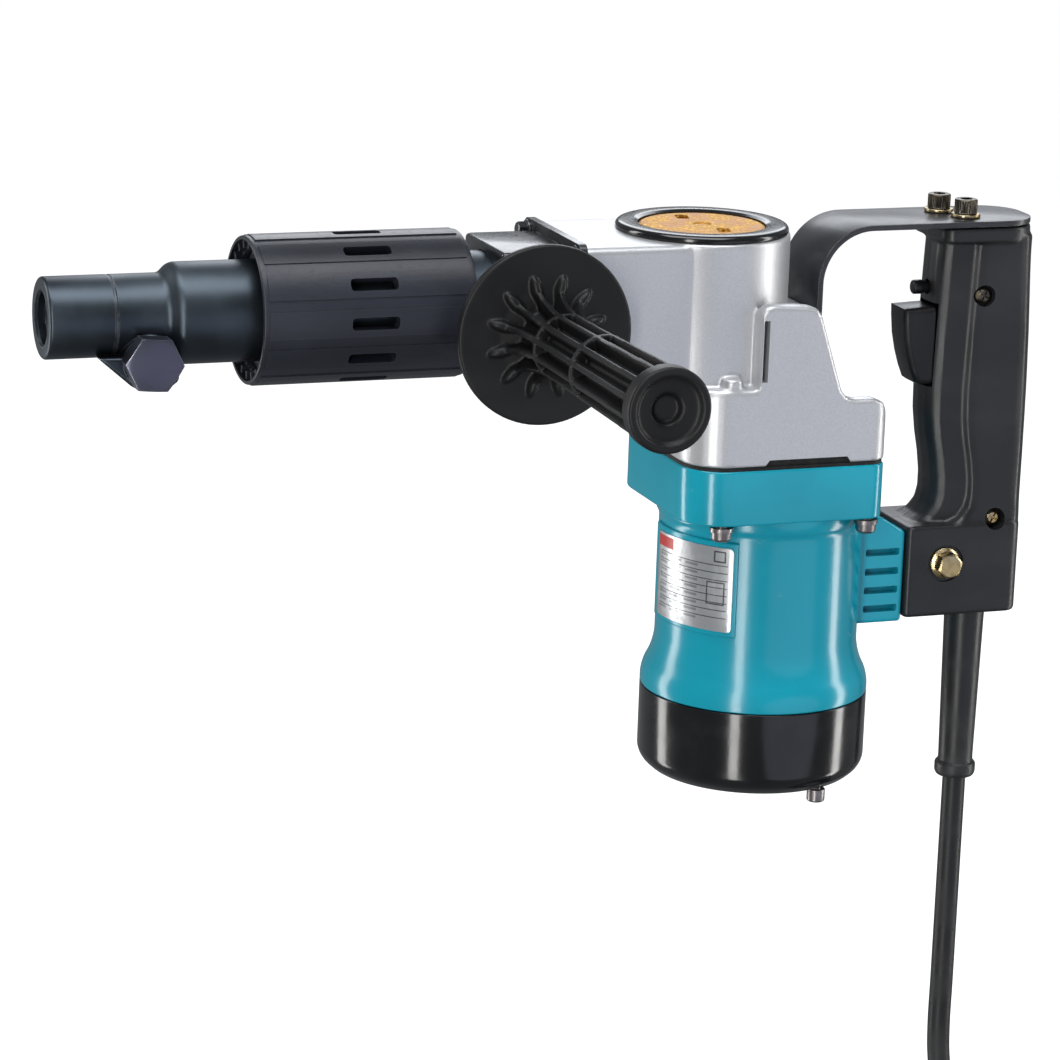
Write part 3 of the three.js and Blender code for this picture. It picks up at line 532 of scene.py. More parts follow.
def wound(radius, wire, start, end, turns, at, steps=96, sides=10):
    """A spring wound from round wire along Y, its ends left square."""
    spring, rings = bmesh.new(), []
    around = [math.tau * k / sides for k in range(sides)]
    for i in range(steps + 1):
        angle, centre = math.tau * turns * i / steps, start + (end - start) * i / steps
        reaches = [radius + wire * math.cos(a) for a in around]
        rings.append([spring.verts.new((at[0] + reach * math.cos(angle), centre + wire * math.sin(a),
                                        at[2] + reach * math.sin(angle)))
                      for reach, a in zip(reaches, around)])
    for ring, following in zip(rings, rings[1:]):
        for k in range(sides):
            spring.faces.new((ring[k - 1], ring[k], following[k], following[k - 1]))
    spring.faces.new(rings[0])
    spring.faces.new(rings[-1])
    bmesh.ops.recalc_face_normals(spring, faces=spring.faces)
    return spring


# The spring closes up against the lug as the pin is pulled out.
spring = piece("retainer_coil", wound(9.6, 0.6, 17.1, 21.2, 2.5, RETAINER), bright_steel, "body",
               ["retainer_spring"])
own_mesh(spring)
dull_steel = bright_finish("dull_steel", (0.27, 0.25, 0.25), 0.30)


# ---- Barrel sleeve ----------------------------------------------------------------------------
# Black glass-filled nylon tube that keeps hands off the hot barrel. Twelve long panels stand
# proud, each with a cooling slot, and its front end is recessed behind a thin rim.
SLEEVE_R, SLEEVE_NEAR, SLEEVE_FAR = 30.7, -325.0, -235.0
SKIN_R, PANEL_NEAR, PANEL_FAR, PANEL_HALF = 30.2, -322.6, -237.4, math.radians(10.6)
SLOT_STEP, SLOT_FIRST = math.tau / 12, math.radians(32 - 90)


def nylon_finish(name, dark, light, rough, grain=900, depth=0.06, shine=0.4):
    nylon = Finish(name, Specular_IOR_Level=shine)
    flow = nylon.noise(38, 4, (0.4, 1, 1)).between(0.38, 0.7)
    dust = nylon.noise(420, 3).between(0.55, 0.78)
    rub = nylon.edge(0.5, 0.02, 0.25) * 0.5
    nylon.colour(nylon.mix(rub, nylon.mix(flow, dark, light), (0.055, 0.056, 0.060)),
                 rough + 0.08 * flow + 0.10 * dust)
    return nylon.bump(nylon.noise(grain, 2) * 0.7 + nylon.noise(grain * 0.24, 2) * 0.3, depth)


def running(bm, axis):
    """The edges that run along an axis, not square to it."""
    n = "XYZ".index(axis)
    return [e for e in bm.edges if abs(e.verts[0].co[n] - e.verts[1].co[n]) > 0.1]


sleeve_nylon = nylon_finish("sleeve_nylon", (0.011, 0.012, 0.018), (0.018, 0.020, 0.030), 0.33)
sleeve = turned([(25, -321), (28.5, -321), (28.5, SLEEVE_NEAR, 0.3), (SKIN_R, SLEEVE_NEAR, 0.8),
                 (SKIN_R, PANEL_NEAR), (SKIN_R, PANEL_FAR), (SKIN_R, SLEEVE_FAR, 0.6),
                 (25, SLEEVE_FAR)], 120, "X")
panels = []
for face in sleeve.faces:
    middle = face.calc_center_median()
    angle = math.atan2(middle.z, middle.y) - SLOT_FIRST
    offset = (angle + SLOT_STEP / 2) % SLOT_STEP - SLOT_STEP / 2
    if PANEL_NEAR < middle.x < PANEL_FAR and abs(offset) < PANEL_HALF and middle.yz.length > 30:
        panels.append(face)
raised = bmesh.ops.extrude_face_region(sleeve, geom=panels)
top = [v for v in raised["geom"] if isinstance(v, bmesh.types.BMVert)]
bmesh.ops.scale(sleeve, vec=(1, SLEEVE_R / SKIN_R, SLEEVE_R / SKIN_R), verts=top)
bmesh.ops.delete(sleeve, geom=panels, context="FACES_ONLY")
bmesh.ops.recalc_face_normals(sleeve, faces=sleeve.faces)
for i in range(12):
    angle = SLOT_FIRST + SLOT_STEP * i
    slot = block(-288.5, -268.5, -2.6, 2.6, 24, 34)
    rounded(slot, running(slot, "Z"), 1.5, 4)
    cut(sleeve, turn(slot, angle - math.pi / 2, "X"))
for i in range(24):
    rib = block(-323.6, -320, -0.8, 0.8, 25.2, 28.9)
    joined(sleeve, turn(rib, math.tau * i / 24, "X"))
piece("sleeve_tube", sleeve, sleeve_nylon, "body", ["barrel_sleeve"], 25)


# ---- Barrel flange ----------------------------------------------------------------------------
# The clamp block behind the sleeve, cast and painted black, that bolts the barrel to the housing
# and carries the side grip on a boss.
FLANGE_NEAR, FLANGE_FAR = -223.5, -190.3
GRIP = (-211.6, 0, -5.6)


def flange_finish():
    paint = Finish("black_enamel", Coat_Weight=0.35, Coat_Roughness=0.12)
    film = paint.noise(55, 4).between(0.4, 0.7)
    rub = paint.edge(0.8, 0.02, 0.2) * paint.noise(160, 4).between(0.42, 0.62)
    paint.colour(paint.mix(rub, paint.mix(film, (0.010, 0.011, 0.013), (0.018, 0.020, 0.024)),
                           (0.17, 0.17, 0.18)), 0.26 + 0.12 * film)
    return paint.bump(paint.noise(520, 3), 0.05)


black_enamel = flange_finish()
flange = block(FLANGE_NEAR, -192, -24.2, 24.2, -30, 24.4)
rounded(flange, flange.edges[:], 2.0, 3)
plate = block(-193.6, FLANGE_FAR, -34, 34, -34, 28.6)
rounded(plate, running(plate, "X"), 4.0, 5)
joined(flange, plate, turned([(0, -20), (15, -20), (15, -38.6, 0.8), (0, -38.6)], 64, "Y", GRIP))
cut(flange,
    turned([(0, -230), (21.3, -230), (21.3, -193.4), (CYLINDER_R, -193.4), (CYLINDER_R, -185),
            (0, -185)], 96, "X"),
    rod(5.3, -40, -25.5, 32, "Y", GRIP))
for y in (-29.3, 29.3):
    for z in (-28.6, 23.4):
        joined(flange, headed(6.4, -193.4, -198.6, "X", (0, y, z), 0.8, math.pi / 6),
               turned([(0, -193.8), (4.4, -193.8), (4.4, -194.6, 0.3), (0, -194.6)], 32, "X",
                      (0, y, z)))
piece("flange_block", flange, black_enamel, "body", ["barrel_flange"])


# ---- Side grip --------------------------------------------------------------------------------
# Moulded black nylon screwed to the flange. A round guard keeps the hand off the flange; twelve
# fins run out from it along the grip, tied by two rings, to a dished end.
GUARD_R, GRIP_END_R, GRIP_TIP = 37.2, 16.8, -182.6


def cast(bm, voxel, rounds, keep=0.5):
    """Fuses overlapping solids into one skin with soft fillets, as a casting or moulding has."""
    return worked(bm, ("REMESH", {"mode": "VOXEL", "voxel_size": voxel}),
                  ("SMOOTH", {"factor": 0.5, "iterations": rounds}),
                  ("DECIMATE", {"ratio": keep}))


grip_nylon = nylon_finish("grip_nylon", (0.0065, 0.0065, 0.007), (0.011, 0.011, 0.012), 0.42, 700,
                          0.06, 0.25)
shapes = [turned([
    (0, -62), (5.3, -62), (5.3, -38.8), (15, -38.8, 0.8), (15, -41.2), (32, -41.8),
    (GUARD_R, -41.8, 0.9), (GUARD_R, -45.8, 1.3), (29, -45.9), (20, -46.4), (11.5, -48.6), (8.6, -58), (9.0, -171),
    (14.8, -172.5, 1.0), (GRIP_END_R, -174.5, 1.2), (GRIP_END_R, GRIP_TIP, 1.3), (13.6, GRIP_TIP, 1.0),
    (12.6, -180.4, 2), (6.2, -179.4, 1.0), (5.0, -176.6, 0.8), (0, -176.6)], 120, "Y")]
FIN = [(6, -44), (21, -44.6), (20, -48.2), (17.2, -53), (15.2, -60), (14.2, -68), (14.0, -80),
       (14.6, -120), (15.6, -174), (6, -174)]
for i in range(12):
    fin = turn(prism([(z, -y) for z, y in FIN], -1.2, 1.2, "X"), math.pi / 2, "X")
    drop = bmesh.new()
    bmesh.ops.create_uvsphere(drop, u_segments=20, v_segments=12, radius=1)
    bmesh.ops.scale(drop, vec=(2.5, 4.0, 6.4), verts=drop.verts)
    moved(drop, (0, -45.8, 19.4))
    shapes += [turn(shape, math.tau * (i + 0.5) / 12, "Y") for shape in (fin, drop)]
for y, r in ((-69.5, 14.0), (-112, 14.5)):
    shapes.append(turned([(8, y - 1.3), (r, y - 1.3), (r, y + 1.3), (8, y + 1.3)], 96, "Y"))
grip = moved(cast(gathered(*shapes), 0.6, 2, 0.4), GRIP)
piece("side_grip_moulding", grip, grip_nylon, "body", ["side_grip"], 50)


# ---- Crank housing ----------------------------------------------------------------------------
# Aluminium die casting in satin silver paint. A square neck holds the cylinder and runs into the
# crank barrel; two cheeks behind it carry the leaf strap, over the gear case.
MOTOR_X, CRANK_X = -94.0, -127.0
CASE_NEAR, CASE_FAR, CASE_Y = -144.0, -56.0, 45.0
LEDGE_Z, JOINT_Z = -32.5, -65.5
CRANK_TOP, CRANK_R = 27.2, 37.2
MOTOR, CRANK = (MOTOR_X, 0, 0), (CRANK_X, 0, 0)
ANCHOR_SIDES, ANCHOR_Z = (-9, 9), -19
HOUSING_BOLTS = [(-129, -40.4), (-129, 40.4), (-63.3, -40.4), (-63.3, 40.4)]


def slab(x0, x1, half, z0, z1, front, rear, segments=10):
    """A level slab with rounded plan corners."""
    bm = block(x0, x1, -half, half, z0, z1)
    for edge_x, radius in ((x0, front), (x1, rear)):
        rounded(bm, [e for e in running(bm, "Z") if abs(e.verts[0].co.x - edge_x) < 1e-3],
                radius, segments)
    return bm


def silver_finish():
    paint = Finish("silver_paint", Coat_Weight=0.15, Coat_Roughness=0.22, Metallic=0.6)
    flake = paint.noise(1900, 2, rough=0.8).between(0.35, 0.65)
    cloud = paint.noise(22, 4).between(0.35, 0.7)
    grime = paint.noise(90, 5, rough=0.65).between(0.60, 0.80)
    rub = paint.edge(0.8, 0.04, 0.3) * paint.noise(210, 4).between(0.45, 0.62)
    skin = paint.mix(flake, (0.47, 0.475, 0.49), (0.55, 0.555, 0.57))
    skin = paint.mix(cloud * 0.25, skin, (0.48, 0.49, 0.50))
    skin = paint.mix(grime * 0.25, skin, (0.34, 0.34, 0.34))
    paint.colour(paint.mix(rub * 0.6, skin, (0.66, 0.66, 0.66)), 0.36 + 0.07 * flake + 0.06 * grime)
    return paint.bump(paint.noise(330, 3) * 0.5 + flake * 0.10, 0.035)


CHEEK = [(-116.5, -60), (-116.5, -1), (-115, 1.6), (-112, 2.8), (-95, 1.6), (-91.5, 0.4), (-89.5, -2.4),
         (-79, -34.5), (-76.6, -37.4), (-73, -38.6), (-64, -38.6), (-59.4, -40.6), (-57, -45),
         (-56, -50), (-56, -60)]
BACK = [(-100, -46), (-100, -8), (-97, -5.5), (-92, -5.5), (-89.5, -8), (-81, -36), (-77, -47),
        (-66, -52), (-60, -56)]
LEAF_BED = [(-95, -46), (-95, -5.5), (-81.3, -5.5), (-81.3, -38), (-78, -47)]
neck = block(-190, CRANK_X, -33, 33, -33, 26.9)
rounded(neck, running(neck, "X"), 3.4, 4)
case = slab(CASE_NEAR, CASE_FAR, CASE_Y, JOINT_Z, -51, 18, 8)
ledge = slab(CASE_NEAR, -86, CASE_Y, -56, LEDGE_Z, 18, 4)
rounded(ledge, [e for e in ledge.edges if all(v.co.z > LEDGE_Z - 0.1 for v in e.verts)
                and len(e.link_faces) == 2 and abs(e.calc_face_angle()) > 0.9], 2.4, 3)
crank_barrel = turned([(0, -52), (CRANK_R, -52), (CRANK_R, CRANK_TOP, 1.5), (0, CRANK_TOP)], 128,
                      at=CRANK)
cheeks = []
for side in (-1, 1):
    cheek = prism(CHEEK, side * 37.4, side * CASE_Y)
    rounded(cheek, [e for e in cheek.edges if all(abs(v.co.y) > 44 and v.co.z > -51 for v in e.verts)],
            3.2, 4)
    combined(cheek, [slab(CASE_NEAR, CASE_FAR, CASE_Y, JOINT_Z, 10, 18, 8)], "INTERSECT")
    cheeks.append(cheek)
bosses = [turned([(0, -36), (4.6, -36), (4.2, -28.2, 0.8), (0, -28.2)], 40, at=(-126.5, y, 0))
          for y in (-39.4, 39.4)]
housing = gathered(neck, block(-150, CRANK_X, -33, 33, -40, -30), case, ledge, crank_barrel,
                   prism(BACK, -38, 38), prism(LEAF_BED, -19.6, 19.6), *cheeks, *bosses)
cast(housing, 0.9, 3, 0.55)
combined(housing, [block(-200, 0, -60, 60, JOINT_Z, 60)], "INTERSECT", "MANIFOLD")
hollows = [
    rod(32, -23, 40, at=CRANK), rod(16.3, -40, -22, 48, at=CRANK), rod(31, -48.5, -36.8, at=CRANK),
    slab(-138.8, -61.2, 37.4, -70, -54, 13, 5), slab(-138.8, -82, 37.4, -55, -42, 13, 3),
    rod(CYLINDER_R, -195, -140, along="X"),
    prism([(-113.1, -67), (-113.1, -66), (-110.6, -62.6), (-75.4, -62.6), (-72.9, -66), (-72.9, -67)],
          -50, 50)]
hollows += [block(-115.7, -113.2, *sorted((s * 37, s * 48)), -29.5, -3.5) for s in (-1, 1)]
hollows += [rod(3.3, -95, -80, 32, "X", (0, y, ANCHOR_Z)) for y in ANCHOR_SIDES]
combined(housing, hollows, "DIFFERENCE", "MANIFOLD")
silver_paint = silver_finish()
piece("crank_housing_casting", housing, silver_paint, "body", ["crank_housing"], 50)


# ---- Housing gasket ---------------------------------------------------------------------------
# Nitrile rubber sheet between the casting and the motor housing. It shows as a black line. Black
# blocks joined to it fill the long vent in each side: painted shade, standing for the shade inside it.
nitrile = plain_finish("nitrile", ((0.006, 0.006, 0.006), (0.014, 0.014, 0.014)), (300, 3, 0.4, 0.7),
                       (0.62, 0), (1100, 2), 0.06, Specular_IOR_Level=0.3)
gasket = slab(CASE_NEAR + 0.7, CASE_FAR - 0.7, CASE_Y - 0.7, -66.9, JOINT_Z, 17.3, 7.3)
cut(gasket, slab(-138.4, -61.6, 37.8, -70, -60, 13, 5))
# painted shade: black blocks set into each long vent, standing for the shade inside the vent
VENT_SHADE_FILL = [(-112.7, -66), (-110.4, -62.9), (-75.6, -62.9), (-73.3, -66)]
joined(gasket, *[prism(VENT_SHADE_FILL, s * 38.4, s * 43.6) for s in (-1, 1)])
piece("joint_gasket", gasket, nitrile, "body", ["housing_gasket"])


# ---- Crank cap --------------------------------------------------------------------------------
# A glossy black ring pressed over the crank barrel, round a gold-chromated steel disc that is
# stippled all over and has two sockets for a pin spanner.
def gold_finish():
    gold = Finish("gold_chromate", Metallic=0.75)
    stipple = gold.node("ShaderNodeTexVoronoi", {}, {"Vector": gold.place, "Scale": 520.0})
    pit = stipple.between(0.20, 0.55)
    cloud = gold.noise(85, 4).between(0.38, 0.66)
    skin = gold.mix(cloud, (0.50, 0.21, 0.018), (0.85, 0.50, 0.09))
    gold.colour(gold.mix(pit * 0.6, skin, (0.22, 0.09, 0.01)), 0.42 + 0.18 * cloud)
    return gold.bump(pit * -1.0 + gold.noise(900, 2) * 0.5, 0.30)


gloss_black = plain_finish("gloss_black", ((0.004, 0.0042, 0.0045), (0.007, 0.0073, 0.008)),
                           (70, 4, 0.42, 0.7), (0.15, 0.06), (420, 2), 0.02, Coat_Weight=0.25,
                           Coat_Roughness=0.12, Specular_IOR_Level=0.4)
piece("cap_ring", turned([
    (26.9, 21), (31.2, 21), (31.2, CRANK_TOP + 0.3), (36.4, CRANK_TOP + 0.3, 0.3), (36.4, 29.4, 1.2),
    (34.6, 30.4, 0.6), (28.6, 30.4, 0.5), (26.9, 29.5)], 144, at=CRANK), gloss_black, "body",
    ["crank_cap"])
disc = turned([(0, 23), (26.5, 23), (26.5, 28.6), (25.2, 29.3, 0.5), (4.0, 29.3), (3.2, 28.7),
               (0, 28.7)], 120, at=CRANK)
for x, y in ((-2.5, 16.5), (3.5, -15.5)):
    socket = block(-4.6, 4.6, -2.7, 2.7, 26.0, 32)
    rounded(socket, running(socket, "Z"), 1.6, 4)
    cut(disc, moved(turn(socket, 1.35, "Z"), (CRANK_X + x, y, 0)))
piece("cap_disc", disc, gold_finish(), "body", ["cap_plate"])


# ---- Motor housing ----------------------------------------------------------------------------
# Injection-moulded in glossy teal nylon: a rounded-square band under the gear case, a round body
# with a pad for the plate, a skirt over the end cover, and the vent box that carries the handle.
BAND_Z, BODY_R, COVER_R, COVER_Z = -90.5, 43.5, 49.0, -173.0
PIVOT = (-14.7, 0, -119.3)


def teal_finish():
    teal = Finish("teal_nylon", Coat_Weight=0.15, Coat_Roughness=0.10, Specular_IOR_Level=0.42)
    drift = teal.noise(16, 3).between(0.3, 0.72)
    scuff = teal.noise(75, 5, rough=0.65).between(0.60, 0.78)
    hairs = teal.noise(240, 2, (1, 1, 0.06), 0.7).between(0.62, 0.74)
    rub = teal.edge(0.7, 0.03, 0.25) * 0.35
    skin = teal.mix(drift, (0.003, 0.250, 0.340), (0.004, 0.295, 0.395))
    skin = teal.mix(scuff * 0.22, skin, (0.05, 0.27, 0.34))
    teal.colour(teal.mix(rub, skin, (0.07, 0.38, 0.46)), 0.20 + 0.12 * scuff + 0.05 * hairs)
    return teal.bump(teal.noise(300, 2) * 0.8 + teal.noise(1200, 2) * 0.2, 0.022)


def rims(bm):
    """The sharp edges round the top and bottom of a slab."""
    return [e for e in bm.edges if e.calc_face_angle() > 0.9
            and abs(e.verts[0].co.z - e.verts[1].co.z) < 0.01]


def crossed(screw, slot, spin, along, at):
    """Cuts a cross in a screw's head, given the box of one slot at the origin."""
    for angle in (spin, spin + math.pi / 2):
        cut(screw, moved(turn(block(*slot), angle, along), at))
    return screw


band = slab(CASE_NEAR, CASE_FAR, CASE_Y, BAND_Z, JOINT_Z - 1.4, 18, 8, 12)
rounded(band, rims(band), 1.1, 3)
motor = turned([
    (0, -172.7), (COVER_R, -172.7, 0.7), (COVER_R, -166.2, 4.0), (BODY_R, -155.8, 6.5),
    (BODY_R, -97.4, 1.5), (44.7, -95.2), (44.7, -88), (0, -88)], 144, at=MOTOR, segments=6)
pad = turned([(40, -141.4), (44.8, -141.4, 1.0), (44.8, -100, 1.0), (40, -100)], 144, at=MOTOR)
combined(pad, [prism([(MOTOR_X, 0), (MOTOR_X - 80, 14), (MOTOR_X - 80, -90), (MOTOR_X - 59, -86)],
                     -150, -90, "Z")], "INTERSECT")
vents = prism([(-80, -95.5), (-50, -96.4), (-44, -98.2), (-33.6, -104.5), (-33.6, -144.5),
               (-80, -144.5)], -18, 18)
rounded(vents, [e for e in vents.edges if max(v.co.x for v in e.verts) > -60
                and e.calc_face_angle() > 0.9], 1.6, 4)
bearer = prism([(-40, -133), (-9, -133), (-6, -130), (-6, -108), (-9, -106), (-40, -106)], -12, 12)
joined(motor, band, pad, vents, bearer)
cut(motor,
    turned([(0, -156), (39.5, -156), (39.5, -94), (34.5, -90), (34.5, -60), (0, -60)], 64, at=MOTOR),
    rod(42.6, -180, -155, at=MOTOR), slab(-139, -61, 37.4, -86.5, -60, 13, 5),
    block(-70, -37, -15, 15, -141, -106), rod(3.3, -20, 20, 32, "Y", PIVOT))
for z in (-113, -121.5, -129.8, -138):
    for side in (-1, 1):
        vent = block(-52.0, -36.2, side * 17 - 4, side * 17 + 4, z - 1.6, z + 1.6)
        cut(motor, rounded(vent, running(vent, "Y"), 0.8, 3))
for x, y in HOUSING_BOLTS:
    cut(motor, rod(2.7, -100, -60, 24, at=(x, y, 0)), rod(5.6, -99, BAND_Z - 0.15, 40, at=(x, y, 0)))
teal_nylon = teal_finish()
piece("motor_moulding", motor, teal_nylon, "body", ["motor_housing"], 30)

for i, (x, y) in enumerate(HOUSING_BOLTS):
    bolt = turned([(0, -97.2), (4.2, -97.2, 1.6), (4.4, -93.0, 0.3), (5.0, -93.0), (5.0, -91.2),
                   (2.3, -91.2), (2.3, -52), (0, -52)], 48, at=(x, y, 0))
    crossed(bolt, (-2.6, 2.6, -0.5, 0.5, -98, -95.4), 0.5 * i, "Z", (x, y, 0))
    piece(f"case_bolt_{i + 1}", bolt, dull_steel, "body", [f"housing_bolt_{i + 1}"])


# ---- Rating plate -----------------------------------------------------------------------------
# Anodised foil glued to the pad and curved with it. Its print is only a plain red corner, ruled
# lines and empty boxes.
PLATE_LOW, PLATE_HIGH, PLATE_R = -139.0, -102.5, 44.83
PLATE_FIRST, PLATE_LAST, PLATE_STRIPS = math.radians(177), math.radians(233.5), 40


def plate_finish():
    foil = Finish("printed_foil", Specular_IOR_Level=0.5)
    x, y, z = foil.coordinates()
    across = foil.node("ShaderNodeMath", {"operation": "ARCTAN2"},
                       {0: 0 - y, 1: MOTOR_X * MM - x}) * PLATE_R      # millimetres from the front
    up = z * 1000.0

    def area(left, right, low, high):
        return (across > left) * (across < right) * (up > low) * (up < high)

    rules = area(1, 39.5, -135.5, -109.5) * ((up % 3.25) < 0.42)
    bars = area(1, 28, -135.5, -109.5) * (((up + 1.5) % 3.25) < 1.0) * ((across % 9.3) < 6.8) * 0.55
    frame_line = area(30, 38.4, -127.5, -117.5) - area(30.6, 37.8, -126.9, -118.1)
    mark = area(33, 38.5, -109, -104) - area(33.7, 37.8, -108.3, -104.7)
    print_mask = (rules + bars + frame_line + mark).between(0.0, 1.0)
    red = area(-1.6, 11, -108.4, -103.6)
    wear = foil.noise(180, 4).between(0.45, 0.75)
    metal = foil.mix(wear, (0.62, 0.63, 0.65), (0.44, 0.45, 0.46))
    inked = foil.mix(print_mask * 0.85, metal, (0.05, 0.05, 0.055))
    foil.colour(foil.mix(red, inked, (0.45, 0.035, 0.03)), 0.28 + 0.18 * wear, 0.85 - 0.8 * red)
    return foil.bump(foil.noise(500, 2, (1, 1, 0.15)), 0.02)


width = PLATE_R * (PLATE_LAST - PLATE_FIRST)
foil = block(0, width, 0, 0.55, PLATE_LOW, PLATE_HIGH)
rounded(foil, running(foil, "Y"), 2.0, 5)
rounded(foil, [e for e in foil.edges if all(v.co.y > 0.5 for v in e.verts)], 0.15, 2)
for i in range(1, PLATE_STRIPS):
    bmesh.ops.bisect_plane(foil, geom=foil.verts[:] + foil.edges[:] + foil.faces[:], dist=1e-5,
                           plane_co=(width * i / PLATE_STRIPS, 0, 0), plane_no=(1, 0, 0))
for corner in foil.verts:
    angle, out = PLATE_FIRST + corner.co.x / PLATE_R, PLATE_R + corner.co.y
    corner.co = (MOTOR_X + out * math.cos(angle), out * math.sin(angle), corner.co.z)
bmesh.ops.reverse_faces(foil, faces=foil.faces)         # the bend mirrors the strip
piece("rating_foil", foil, plate_finish(), "body", ["rating_plate"], 30)


# ---- End cover --------------------------------------------------------------------------------
# Glossy black moulded cup over the lower bearing and the brush gear, with air slots round its
# base and two long pan-headed screws that hold it.
BASE_Z = -210.0
COVER_SCREWS = [(15.7, -37.1), (-15.7, 37.1)]
cover = turned([
    (46.4, COVER_Z), (COVER_R, COVER_Z, 0.5), (COVER_R, -204.5, 3.5), (COVER_R - 6.2, BASE_Z, 2.2),
    (0, BASE_Z), (0, -206.6), (11.3, -206.6), (11.3, -198), (14.5, -198), (14.5, -206.6),
    (44.5, -206.6), (46.4, -203)], 144, at=MOTOR, segments=6)
for i in range(8):
    vent = block(19, 36, -1.9, 1.9, -215, -205)
    rounded(vent, running(vent, "Z"), 1.8, 5)
    cut(cover, moved(turn(vent, math.tau * (i + 0.5) / 8, "Z"), MOTOR))
piece("end_cup", cover, gloss_black, "body", ["end_cover"], 30)

for i, (x, y) in enumerate(COVER_SCREWS):
    place = (MOTOR_X + x, y, 0)
    screw = turned([(0, -216), (3.9, -216, 0.9), (3.9, BASE_Z - 0.3, 0.4), (2.1, BASE_Z - 0.3),
                    (2.1, -199), (0, -199)], 48, at=place)
    crossed(screw, (-2.3, 2.3, -0.5, 0.5, -217, -214.4), 0.3, "Z", place)
    piece(f"cup_screw_{i + 1}", screw, dull_steel, "body", [f"cover_screw_{i + 1}"])


# ---- Leaf strap -------------------------------------------------------------------------------
# One strip of spring steel, bent over the back of the crank barrel and run level to the top of
# the handle. It is painted satin black, and its cut edges rub grey.
LEAF_X, LEAF_TOP, LEAF_T, LEAF_HALF, LEAF_BEND = -81.0, 29.8, 2.5, 19.0, 22.0
LEAF_FOOT, LEAF_END = -31, 22
STRAP_SCREWS = [(-15, 7), (-9, -7)]


def leaf_finish():
    leaf = Finish("leaf_paint", Coat_Weight=0.15, Coat_Roughness=0.2, Metallic=0.25)
    cloud = leaf.noise(48, 4).between(0.36, 0.7)
    rub = leaf.edge(0.8, 0.02, 0.2) * leaf.noise(150, 4).between(0.34, 0.56)
    scratch = leaf.noise(130, 2, (0.08, 1, 0.3), 0.7).between(0.63, 0.72) * 0.3
    skin = leaf.mix(cloud, (0.020, 0.021, 0.024), (0.032, 0.033, 0.038))
    leaf.colour(leaf.mix((rub * 0.8 + scratch).between(0, 1), skin, (0.23, 0.23, 0.24)),
                0.36 + 0.10 * cloud)
    return leaf.bump(leaf.noise(640, 3), 0.035)


def arc(cx, cz, r, first, last, count):
    return [(cx + r * math.cos(first + (last - first) * i / count),
             cz + r * math.sin(first + (last - first) * i / count)) for i in range(count + 1)]


bend_x, bend_z = LEAF_X + LEAF_T + LEAF_BEND, LEAF_TOP - LEAF_T - LEAF_BEND
leaf_side = [(LEAF_X, LEAF_FOOT)] + arc(bend_x, bend_z, LEAF_BEND + LEAF_T, math.pi, math.pi / 2, 28)
leaf_side += [(LEAF_END, LEAF_TOP), (LEAF_END, LEAF_TOP - LEAF_T)]
leaf_side += arc(bend_x, bend_z, LEAF_BEND, math.pi / 2, math.pi, 28) + [(LEAF_X + LEAF_T, LEAF_FOOT)]
leaf = prism(leaf_side, -LEAF_HALF, LEAF_HALF)
rounded(leaf, [e for e in running(leaf, "Z") if all(v.co.x > LEAF_END - 0.1 for v in e.verts)], 16, 14)
rounded(leaf, [e for e in leaf.edges if len(e.link_faces) == 2 and e.calc_face_angle() > 1.2], 0.45, 2)
cut(leaf, *[rod(3.3, 20, 40, 32, at=(x, y, 0)) for x, y in STRAP_SCREWS],
    *[rod(3.3, -95, -70, 32, "X", (0, y, ANCHOR_Z)) for y in ANCHOR_SIDES])
piece("spring_leaf", leaf, leaf_finish(), "body", ["strap"], 28)


# ---- Strap screws -----------------------------------------------------------------------------
# Black-oxide socket-head screws with knurled heads, two down through the leaf into the handle on
# yellow zinc washers, and two forward into the casting.
def oxide_finish():
    oxide = Finish("bronzed_oxide", Metallic=0.9)
    film = oxide.noise(190, 4).between(0.38, 0.68)
    rub = oxide.edge(0.4, 0.03, 0.25) * 0.6
    oxide.colour(oxide.mix(rub, oxide.mix(film, (0.045, 0.040, 0.034), (0.105, 0.085, 0.060)),
                           (0.34, 0.30, 0.24)), 0.28 + 0.14 * film)
    return oxide.bump(oxide.noise(800, 3), 0.04)


def zinc_finish():
    zinc = Finish("yellow_zinc", Metallic=1.0)
    tint = zinc.noise(120, 4).between(0.34, 0.7)
    film = zinc.noise(380, 3).between(0.4, 0.7)
    skin = zinc.mix(tint, (0.46, 0.35, 0.17), (0.38, 0.33, 0.23))
    zinc.colour(zinc.mix(film * 0.5, skin, (0.28, 0.20, 0.10)), 0.24 + 0.18 * film)
    return zinc.bump(zinc.noise(700, 3), 0.03)


bronzed_oxide, yellow_zinc = oxide_finish(), zinc_finish()


def socket_screw(seat, length, head=6, flutes=72):
    """Socket-head cap screw standing on seat, pointing up its own Z."""
    screw = turned([(0, seat - length), (3, seat - length, 0.6), (3, seat), (4.9, seat, 0.3),
                    (4.9, seat + head, 0.7), (0, seat + head)], flutes)
    for corner in screw.verts:
        out = math.hypot(corner.co.x, corner.co.y)
        if out > 4.85 and seat + 0.2 < corner.co.z < seat + head - 0.6:
            index = round(math.atan2(corner.co.y, corner.co.x) / math.tau * flutes)
            if index % 2:
                corner.co.x, corner.co.y = corner.co.x * 0.96, corner.co.y * 0.96
    return cut(screw, hexagon(5, seat + head / 2, seat + 9, "Z"))


